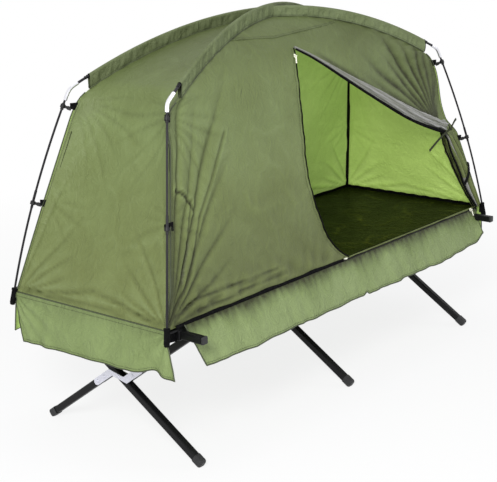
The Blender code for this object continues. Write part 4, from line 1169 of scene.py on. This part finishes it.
def skirt_rows(name, seed):
    """A skirt from the base seam down and outwards with its hanging folds, and the marks that shade them."""
    axis, sign, top, hem, drop = SKIRTS[name]
    cols, rows = SKIRT_GRID[axis]
    base, flare = (BASE_Y, SKIRT_SIDE_FLARE) if axis else (BASE_X, SKIRT_END_FLARE)
    share = np.linspace(0, 1, cols)[None, :]
    fall = np.linspace(0, 1, rows)[:, None]
    bent = fall**1.2
    start, end = top[0] + (hem[0] - top[0]) * bent, top[1] + (hem[1] - top[1]) * bent
    along = start + (end - start) * share
    first, second, third = np.random.default_rng(seed).uniform(0, 2 * math.pi, 3)
    broad = waves(along, (1, 6.5 if axis else 10, first), (0.6, 15 if axis else 21, second))
    fine = waves(along, (1, 47, waves(along, (3, 9, third))), (0.6, 83, waves(along, (2, 15, first))))
    gathers = waves(along, (1, 210, waves(along, (6, 27, first))), (0.7, 347, waves(along, (5, 43, 0))))
    gathers = gathers * bell(fall, 0.20 + waves(along, (0.10, 71, second))) * between(fall, 0.0, 0.05)
    crumples = creases(along, fall * 0.13, seed, 1.0, count=10, scale=24.0) * between(fall, 0.02, 0.15)
    out = base + 0.002 + flare * fall**0.8 * (1 + 0.07 * broad) + 0.0017 * fine * fall**0.7
    out = out + 0.0011 * gathers * (1.0 if axis else 0.5) + 0.0016 * crumples
    z = SEAM_Z + (SKIRT_BOTTOM_Z - SEAM_Z) * fall + waves(along, (0.0013, 11, second)) * fall
    z = z + waves(along, (0.0012, 39, third)) * fall**2
    z = z - (drop[0] + (drop[1] - drop[0]) * share) * fall
    if name == "near_skirt":
        # The hem's notch, its step near the right end, and the rounded corner there
        z = z + 0.010 * bell(along - 0.03, 0.010) * fall**6
        z = z + 0.008 * between(along, 0.60, 0.66) * fall**3
        z = z + 0.030 * between(share, 0.965, 1.0) ** 2 * fall**2
    if name == "left_skirt":
        # A ripple at its near end, and tension from both pole pockets
        ripple = bell(share - 0.14, 0.055) * fall**1.4
        out = out - 0.014 * ripple
        z = z + 0.015 * ripple
        for at in (0.0, 1.0):
            away = np.abs(share - at)
            pulled = np.cos(2 * math.pi * 2.6 * np.arctan2(fall * 0.2, away + 0.02))
            pulled = pulled * (1 - between(away / 0.42, 0.3, 1.0)) * between(fall, 0.03, 0.2)
            out = out + 0.0032 * pulled * (1 - fall * 0.6)
    along, out, z = np.broadcast_arrays(along, out, z)
    parts = (along, sign * out, z) if axis else (sign * out, along, z)
    # Painted shade under the top edge's band, with a ragged lower end; painted shade and highlights on the
    # folds near the top, and the side skirts painted lighter all over
    reach = 0.22 + waves(along, (0.03, 61, first), (0.02, 149, second), (0.06, 19, 0))
    band_shadow = np.exp(-((fall / np.clip(reach, 0.04, 1)) ** 1.4)) * (0.92 + waves(along, (0.08, 205, third)))
    marks = np.clip(above_round(out, 8) * 45, -0.6, 0.4) * between(fall, 0.0, 0.1)
    marks = marks + 0.20 - 1.40 * band_shadow if axis else marks - 0.30 * band_shadow
    return np.stack(parts, axis=-1), marks


def corner_flap(side):
    """At a far corner the end skirt turns round to the side: a narrow piece that hangs out."""
    fall = np.linspace(0, 1, 24)[:, None]
    share = np.linspace(0, 1, 16)[None, :]
    x = (BASE_X - 0.002) - 0.050 * share - 0.004 * fall
    y = BASE_Y + 0.002 + (0.050 + 0.012 * np.sin(share * 5)) * fall**0.8 * (0.55 + 0.45 * share)
    z = SEAM_Z - (0.140 + 0.006 * np.sin(share * 4)) * fall
    return np.stack(np.broadcast_arrays(side * x, y, z), axis=-1)


def hang(name, rows, outward, flat, behind, *replaced, marks=None):
    """A skirt or flap with its outer and inner finish; gives back its hem."""
    finishes = (SKIRT_GREEN, INNER_GLOW)
    made = lay(name, rows, outward, finishes, SKIRT_CLOTH, "canopy_cloth", *replaced, marks=marks)
    border = np.vstack([rows[:, 0], rows[-1, 1:], rows[::-1, -1][1:]])
    return tube("hem", HEM_GREEN, border, HEM_RADIUS, flat=0.8)


def add_skirts():
    lines, hems, tops = [], [], []
    for seed, (name, (axis, sign, *_)) in enumerate(SKIRTS.items(), 5):
        rows, marks = skirt_rows(name, seed)
        outward = facing(axis, sign, 0.4)
        flat = (0.150, 1.77) if axis else (0.145, 0.70)
        wall_name, node = name.replace("skirt", "wall"), name.replace("skirt", "panel")
        hems.append(hang(name, rows, outward, flat, wall_name, node, marks=marks))
        out = outward * 0.0011
        lines.append(rows[-2] + out + np.array((0, 0, 0.004)))
        if axis:
            tops.append(tube("top", TAPE_BLACK, rows[0] + out, 0.0022))
        else:
            hems.append(tube("top", HEM_GREEN, rows[0] - out, HEM_RADIUS))
            lines += [rows[0] + out + np.array((0, 0, 0.003)), rows[3] + out]
    for label, side in (("left", -1), ("right", 1)):
        hems.append(hang(f"corner_flap_{label}", corner_flap(side), (0, 1, 0), (0.052, 0.150), "far_wall"))
    dress(combined("skirt_hems", hems), "canopy_cloth")
    dress(combined("skirt_tops", tops), "canopy_cloth")
    stitches("skirt_stitches", lines, THREAD_DARK, "canopy_cloth")


# Door side


def add_sill():
    """The black zip band along the sill, with its teeth."""
    xs = np.linspace(-0.905, 0.905, 200)
    sway = waves(xs, (0.0012, 23, 0), (0.0008, 51, 0))
    rise = 0.0125 - 0.0070 * between(xs, -0.02, 0.0)
    rows = []
    for part in np.arange(7) / 6:
        z = SEAM_Z - 0.0035 + rise * part
        wall_y = np.array([near_surface(x, max(h, SEAM_Z + 0.0005)).y for x, h in zip(xs, z)])
        y = wall_y - 0.0020 - 0.0018 * math.sin(math.pi * part) + sway * 0.3
        rows.append(np.stack([xs, y, z + sway], axis=1))
    lay("sill_band", np.array(rows), (0, -1, 0), [TAPE_BLACK], SILL_TAPE, "bed_cloth", degrees=50)
    line = [(x, -BASE_Y - 0.0047, SEAM_Z + 0.0006) for x in np.linspace(-0.028, 0.872, 3)]
    teeth = {"pitch": 0.0022, "length": 0.0012, "thickness": 0.0028}
    stitches("sill_zip_teeth", [line], PLASTIC_BLACK, "zip_metal", **teeth)


def add_door_edge():
    """The bottom zip's pale box, black zip tape up the door's open edges and stitches beside it."""
    left, _, right = door_line(150)
    box = [near_surface(x, 0.4868, 0.0075) for x in (-0.040, -0.034, -0.027, -0.022)]
    made = tube("zip_box", ZIP_PALE, box, (0.0030, 0.0050, 0.0048, 0.0026), 10, flat=0.7)
    dress(smooth_shade(made), "zip_metal")
    pieces = []
    for path, radius in ((left, 0.0028), (right, 0.0026)):
        pieces.append(tube("edge", TAPE_BLACK, [near_surface(x, z, -0.0004) for x, z in path], radius))
    dress(combined("door_edges", pieces), "bed_cloth")
    seam = [near_surface(x - 0.016, z, 0.0012) for x, z in left]
    stitches("door_stitches", [seam], THREAD_DARK, "canopy_cloth")


def roll_radius(share):
    return 0.0045 + 0.0165 * float(smooth(share * 1.35))


def roll_path(edge):
    """Centre of the rolled door, just above the opening's upper edge."""
    points = []
    slope = np.gradient(edge, axis=0)
    slope /= np.linalg.norm(slope, axis=1, keepdims=True)
    for i, (x, z) in enumerate(edge):
        radius = roll_radius(i / (len(edge) - 1))
        up = Vector((-slope[i][1], slope[i][0]))
        if up.y < 0:
            up = -up
        points.append(near_surface(x + up.x * radius * 0.85, z + up.y * radius * 0.85, radius * 0.92))
    return to_array(points)


def add_roll():
    """The opened door: cloth rolled on itself, pinched at the tie, and its black edge."""
    count, sides, flatness = 140, 44, 0.92
    edge = rounded_path([DOOR_LEFT[-1], *DOOR_TOP], count)
    path = roll_path(edge)
    tangent = np.gradient(path, axis=0)
    tangent /= np.linalg.norm(tangent, axis=1, keepdims=True)
    rings, marks = [], []
    for i in range(count):
        share = i / (count - 1)
        side = np.cross(tangent[i], (0, 1, 0))
        side /= np.linalg.norm(side)
        up = np.cross(side, tangent[i])
        pinch = 1 - 0.30 * bell(share - 0.965, 0.018)
        ring, tones = [], []
        for turned in 2 * math.pi * np.arange(sides) / sides:
            # Layers of the roll show as shallow steps, and its folds run along it
            twist = turned + 2.2 * share
            wide, narrow = math.sin(5 * twist + 9 * share), math.sin(11 * twist - 23 * share)
            fine = math.sin(17 * twist + 41 * share)
            fold = (0.07 * wide + 0.05 * narrow + 0.03 * fine) * (0.4 + share)
            r = roll_radius(share) * (0.90 + 0.10 * ((twist / (2 * math.pi)) % 1.0) + fold) * pinch
            ring.append(path[i] + side * math.cos(turned) * r + up * math.sin(turned) * r * flatness)
            # Painted highlights and painted shade along the roll's folds, stronger towards the tie, with a
            # little painted shade all over
            tones.append((0.5 * wide + 0.45 * narrow + 0.3 * fine) * (0.3 + 0.4 * share) - 0.10)
        rings.append(ring)
        marks.append(tones)
    made = close_ends(grid("rolled_door", np.array(rings), wrap=True, marks=np.array(marks)))
    dress(smooth_shade(paint(made, ROLL_GREY), 60), "flap_cloth", "door_flap")
    # The door's zip tape, rolled in last, shows as a black line under the roll
    parts = np.arange(count) / count
    line = [near_surface(x, z - 0.003 - 0.005 * p, 0.008 + 0.014 * p) for (x, z), p in zip(edge, parts)]
    dress(tube("roll_tape", TAPE_BLACK, line, np.linspace(0.0036, 0.0072, count)), "bed_cloth")


def add_tail():
    """Below the tie the door's cloth opens out again and hangs to the sill in folds."""
    rows, cols = 90, 80
    inner, outer = (rounded_path(edge, rows) for edge in TAIL_EDGES)
    points, marks = [], []
    for i in range(rows):
        share = i / (rows - 1)
        deep = 0.013 * (1 - 0.45 * share) * float(between(share, 0.0, 0.12)) + 0.002
        row, tones = [], []
        for part in np.arange(cols) / (cols - 1):
            x, z = inner[i] + (outer[i] - inner[i]) * part
            turn = 2 * math.pi * (2.6 * part + 0.25 * share + 0.04 * math.sin(9 * share))
            fold = (0.5 + 0.5 * math.cos(turn)) ** 1.5
            lift = 0.003 + deep * fold + 0.002 * math.sin(31 * part + 8 * share)
            row.append(tuple(near_surface(x, z, lift)))
            # Painted shade in the hollows between the folds
            tones.append(1.5 * fold - 0.85 if fold < 0.57 else 0.0)
        points.append(row)
        marks.append(tones)
    made = face_out(grid("door_tail", waist(points), marks=np.array(marks)), (0, -1, 0))
    paint(made, WALL_GREEN, ROLL_GREY)
    for face in made.data.polygons:
        # Strips of the lighter inner face show between the folds
        part, share = (face.index % (cols - 1)) / (cols - 1), (face.index // (cols - 1)) / (rows - 1)
        pale = 0.34 < part + 0.03 * math.sin(12 * share) < 0.58 and share < 0.62
        pale = pale or 0.12 < part + 0.02 * math.sin(10 * share) < 0.44 and share > 0.60
        face.material_index = 1 if pale else 0
    dress(smooth_shade(thicken(made, TAIL_CLOTH, 0.0), 60), "flap_cloth", "door_flap")
    edge = waist([np.array(row[0]) + (0, -0.003, 0) for row in points])
    dress(tube("tail_edge", TAPE_BLACK, edge, 0.0062, 10, flat=0.6), "bed_cloth")


def add_tie():
    """The tape that holds the roll, wrapped round it and knotted, and the black strap below."""
    centre = near_surface(TIE[0] - 0.002, TIE[1] + 0.004, 0.018)
    along = Vector((0.93, 0.0, -0.36)).normalized()
    out = Vector((0, -1, 0))
    up = along.cross(out)
    turns = [2 * math.pi * k / 32 for k in range(33)]
    loop = [centre + up * math.cos(turned) * 0.0175 + out * math.sin(turned) * 0.0195 for turned in turns]
    pieces = [ribbon("wrap", TAPE_OLIVE, loop, 0.010, 0.0014, along)]
    knot = centre + out * 0.0215 + along * 0.004
    widths = np.linspace(0.0090, 0.0105, 16)
    for reach, drop in ((-0.140, -0.066), (0.060, 0.030)):
        path = []
        for k in range(16):
            part = k / 15
            bend = math.sin(math.pi * part)
            step = (reach * part, 0.010 * part - 0.004 * bend, drop * part + 0.010 * bend)
            path.append(knot + Vector(step))
        pieces.append(ribbon("tail", TAPE_OLIVE, path, widths, 0.0016, (0.42, 0.0, -0.90)))
    ends = [knot + along * step for step in (-0.008, 0.0, 0.008)]
    pieces.append(tube("knot", TAPE_OLIVE, ends, (0.0040, 0.0062, 0.0040), 12))
    dress(combined("tie_tape", pieces), "flap_cloth")
    path = []
    for part in np.linspace(0, 1, 18):
        lift = 0.012 + 0.010 * math.sin(math.pi * part)
        path.append(near_surface(0.884 - 0.052 * part, 0.668 - 0.078 * part, lift))
    dress(ribbon("flap_strap", TAPE_BLACK, path, 0.015, 0.0018, (0.85, -0.1, -0.5)), "bed_cloth")


# Floor, bed and inner tapes


def add_floor():
    half_x, half_y = FLOOR_HALF
    x = np.linspace(-half_x, half_x, 150)[None, :]
    y = np.linspace(-half_y, half_y, 60)[:, None]
    edge = between(half_x - np.abs(x), 0.0, 0.03) * between(half_y - np.abs(y), 0.0, 0.03)
    rise = 0.0022 * np.sin(x * 12 + 2 * y) + 0.0018 * np.sin(y * 29 + 3 * np.sin(x * 5))
    rise = rise + 0.0016 * creases(x + 0 * y, y + 0 * x, 91, 1.0, count=10, scale=13.0)
    points = np.stack(np.broadcast_arrays(x, y, FLOOR_TOP + 0.0030 + rise * edge), axis=-1)
    # Painted highlights on the crinkles and painted shade in the hollows, away from the edges
    marks = np.clip(above_round(rise, 4) * 900, -0.6, 0.8) * edge
    up, finishes = (0, 0, 1), [FLOOR_OLIVE]
    made = lay("floor_sheet", points, up, finishes, FLOOR_CLOTH, "floor_cloth", "tent_floor", marks=marks)


def add_edging():
    """Black edging round the floor, lower at the door, and black tapes up the inside of the corners."""
    pieces = []
    corners = np.array([(-1, -1), (1, -1), (1, 1), (-1, 1)])
    for first, last in zip(corners, np.roll(corners, -1, axis=0)):
        start, end = (corner * (BASE_X - EDGING_INSET, BASE_Y - EDGING_INSET) for corner in (first, last))
        inward = -(first + last) / 2
        lip = -0.009 if inward[1] > 0 else 0.0
        rows = []
        for z, inset in ((-0.004, 0.0), (0.007 + lip, 0.0025), (0.011 + lip, 0.0062)):
            places = [start + (end - start) * k / 79 + inward * inset for k in range(80)]
            rows.append([(*place, SEAM_Z + z + 0.001 * math.sin(k * 0.9)) for k, place in enumerate(places)])
        strip = face_out(grid("edging", np.array(rows)), (*inward, 0.1))
        pieces.append(paint(thicken(strip, TAPE, 0.0), TAPE_BLACK))
    dress(smooth_shade(combined("floor_edging", pieces)), "bed_cloth")
    pieces = []
    line = corner_line(260)
    line = line[line[:, 2] < 1.0] - np.array((0.014, 0.010, 0.0))
    for _, sx, sy in QUARTERS:
        sideways = (-0.72 * sx, 0.69 * sy, 0.0)
        pieces.append(ribbon("corner", TAPE_BLACK, placed(line, sx, sy), 0.013, TAPE, sideways))
    dress(combined("corner_tapes", pieces), "bed_cloth")


def add_bed():
    """Black bed cloth over both rails, with a lip down each that ends before the cloth does."""
    low, high = (Vector(corner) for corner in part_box("bed_sling"))
    top, outer = high.z, high.y
    flat = outer - 0.003
    middle = [(-flat + 2 * flat * k / 36, top - 0.0006) for k in range(37)]
    profile = [(-outer, low.z), (-outer, top - 0.004), *middle, (outer, top - 0.004), (outer, low.z)]
    rows = []
    for x in np.linspace(low.x, high.x, 90):
        bottom = low.z if abs(x) <= BED_LIP_HALF else top - 0.0075
        rows.append([(x, y, z if z > low.z else bottom) for y, z in profile])
    up, finishes = (0, 0, 1), [BED_BLACK]
    made = lay("bed_cloth", np.array(rows), up, finishes, BED_CLOTH, "bed_cloth", "bed_sling", degrees=50)
    xs = np.linspace(-BED_LIP_HALF, BED_LIP_HALF, 4)
    lines = [[(x, side * (outer + 0.0006), low.z + 0.006) for x in xs] for side in (-1, 1)]
    stitches("bed_stitches", lines, THREAD_DARK, "bed_cloth")


# Poles and their fittings


def clip_loop(kind, label, sx, sy):
    """Webbing sewn into the corner seam that holds one clip."""
    low, high = (np.abs(corner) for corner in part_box(f"{kind}_clip_{label}"))
    z = (low[2] + high[2]) / 2
    tip = np.array((*np.minimum(low, high)[:2], z)) * 1.002
    seam, tip = Vector(placed([seam_at(z, 400)], sx, sy)[0]), Vector(to_quarter([tip], sx, sy)[0])
    inner = seam + (seam - tip).normalized() * 0.010
    outer = tip + (tip - seam).normalized() * 0.006
    widths = (0.028, 0.026, 0.024, 0.022, 0.020, 0.018)
    return ribbon("loop", TAPE_BLACK, steps_between(inner, outer), widths, 0.0046, (0, 0, 1))


def add_pockets():
    """Webbing pockets at the pole feet, their tabs, and loops behind the clips."""
    pieces = []
    foot = lower_pole_point(0.0)
    axis = (lower_pole_point(0.1) - foot).normalized()
    cup = [foot + axis * step for step in (-0.0095, -0.008, 0.0, 0.015, 0.032, 0.046)]
    rim = [foot + axis * step for step in (0.0405, 0.0465)]
    tab = steps_between(Vector((BASE_X - 0.003, BASE_Y - 0.003, SEAM_Z - 0.008)), foot + axis * 0.022)
    # A strip of the sling's cloth closes the corner between pocket and end bar
    start = Vector((BASE_X - 0.010, BASE_Y - 0.012, 0.455))
    end = Vector((BASE_X - 0.066, BASE_Y - 0.014, 0.447))
    gusset = steps_between(start, end)
    radii = (0.0045, 0.0078, 0.0094, 0.0092, 0.0088, 0.0090)
    for label, sx, sy in QUARTERS:
        pieces.append(tube("cup", TAPE_BLACK, to_quarter(cup, sx, sy), radii, 14))
        pieces.append(tube("rim", TAPE_BLACK, to_quarter(rim, sx, sy), 0.0102, 14))
        for path in (tab, gusset):
            path = to_quarter(path, sx, sy)
            pieces.append(ribbon("strip", TAPE_BLACK, path, 0.036, WEBBING, (0, 0, 1)))
        pieces += [clip_loop(kind, label, sx, sy) for kind in ("mid", "top")]
    dress(combined("pole_pockets", pieces), "bed_cloth")


def add_poles():
    """Dark rings at the sleeves and elbows, and the four bowed lower poles with their middle ferrules."""
    rings, poles = [], {}
    for label, sx, sy in QUARTERS:
        for share in (SLEEVE_END_SHARE + 0.004, SLEEVE_END_SHARE + 0.012):
            path = [arc_point(share + step, arc_lowered(sx, sy)) for step in (0.0, 0.004)]
            rings.append(tube("ring", PLASTIC_BLACK, to_quarter(path, sx, sy), ROOF_POLE_RADIUS + 0.0014, 14))
        path = [lower_pole_point(share) for share in (0.955, 0.985)]
        rings.append(tube("ferrule", PLASTIC_BLACK, to_quarter(path, sx, sy), ROOF_POLE_RADIUS + 0.0009, 14))
        path = to_quarter([lower_pole_point(share) for share in np.linspace(0.0, 1.0, 60)], sx, sy)
        middle = tube("ferrule", POLE_DARK, path[28:34], LOWER_POLE_RADIUS + 0.0008, 14)
        poles[label] = [tube("pole", POLE_DARK, path, LOWER_POLE_RADIUS, 14), middle]
    dress(combined("pole_rings", rings), "clip_plastic")
    for label, pieces in poles.items():
        dress(combined(f"slim_pole_{label}", pieces), "pole_rod", f"lower_pole_{label}")


def dress_nodes():
    """Finishes for the solids that stay."""
    table = (
        (("near_rail", "far_rail", "end_bar", "straight_leg", "upper_leg", "lower_leg"), TUBE_BLACK),
        (("cross_bracket",), PLATE_SILVER),
        (("elbow",), ELBOW_SILVER),
        (("roof_pole", "lower_pole"), POLE_DARK),
        (("foot_near", "foot_far", "bar_plug"), PLASTIC_GREY),
        (("mid_clip", "top_clip"), PLASTIC_BLACK),
        (("side_zip", "bottom_zip"), ZIP_PALE),
    )
    for name, obj in NODES.items():
        for starts, finish in table:
            if name.startswith(starts):
                paint(obj, finish)


add_camera()
add_stage()
add_walls()
add_seams()
add_sleeves()
add_skirts()
add_sill()
add_door_edge()
add_roll()
add_tail()
add_tie()
add_floor()
add_edging()
add_bed()
add_pockets()
add_poles()
dress_nodes()
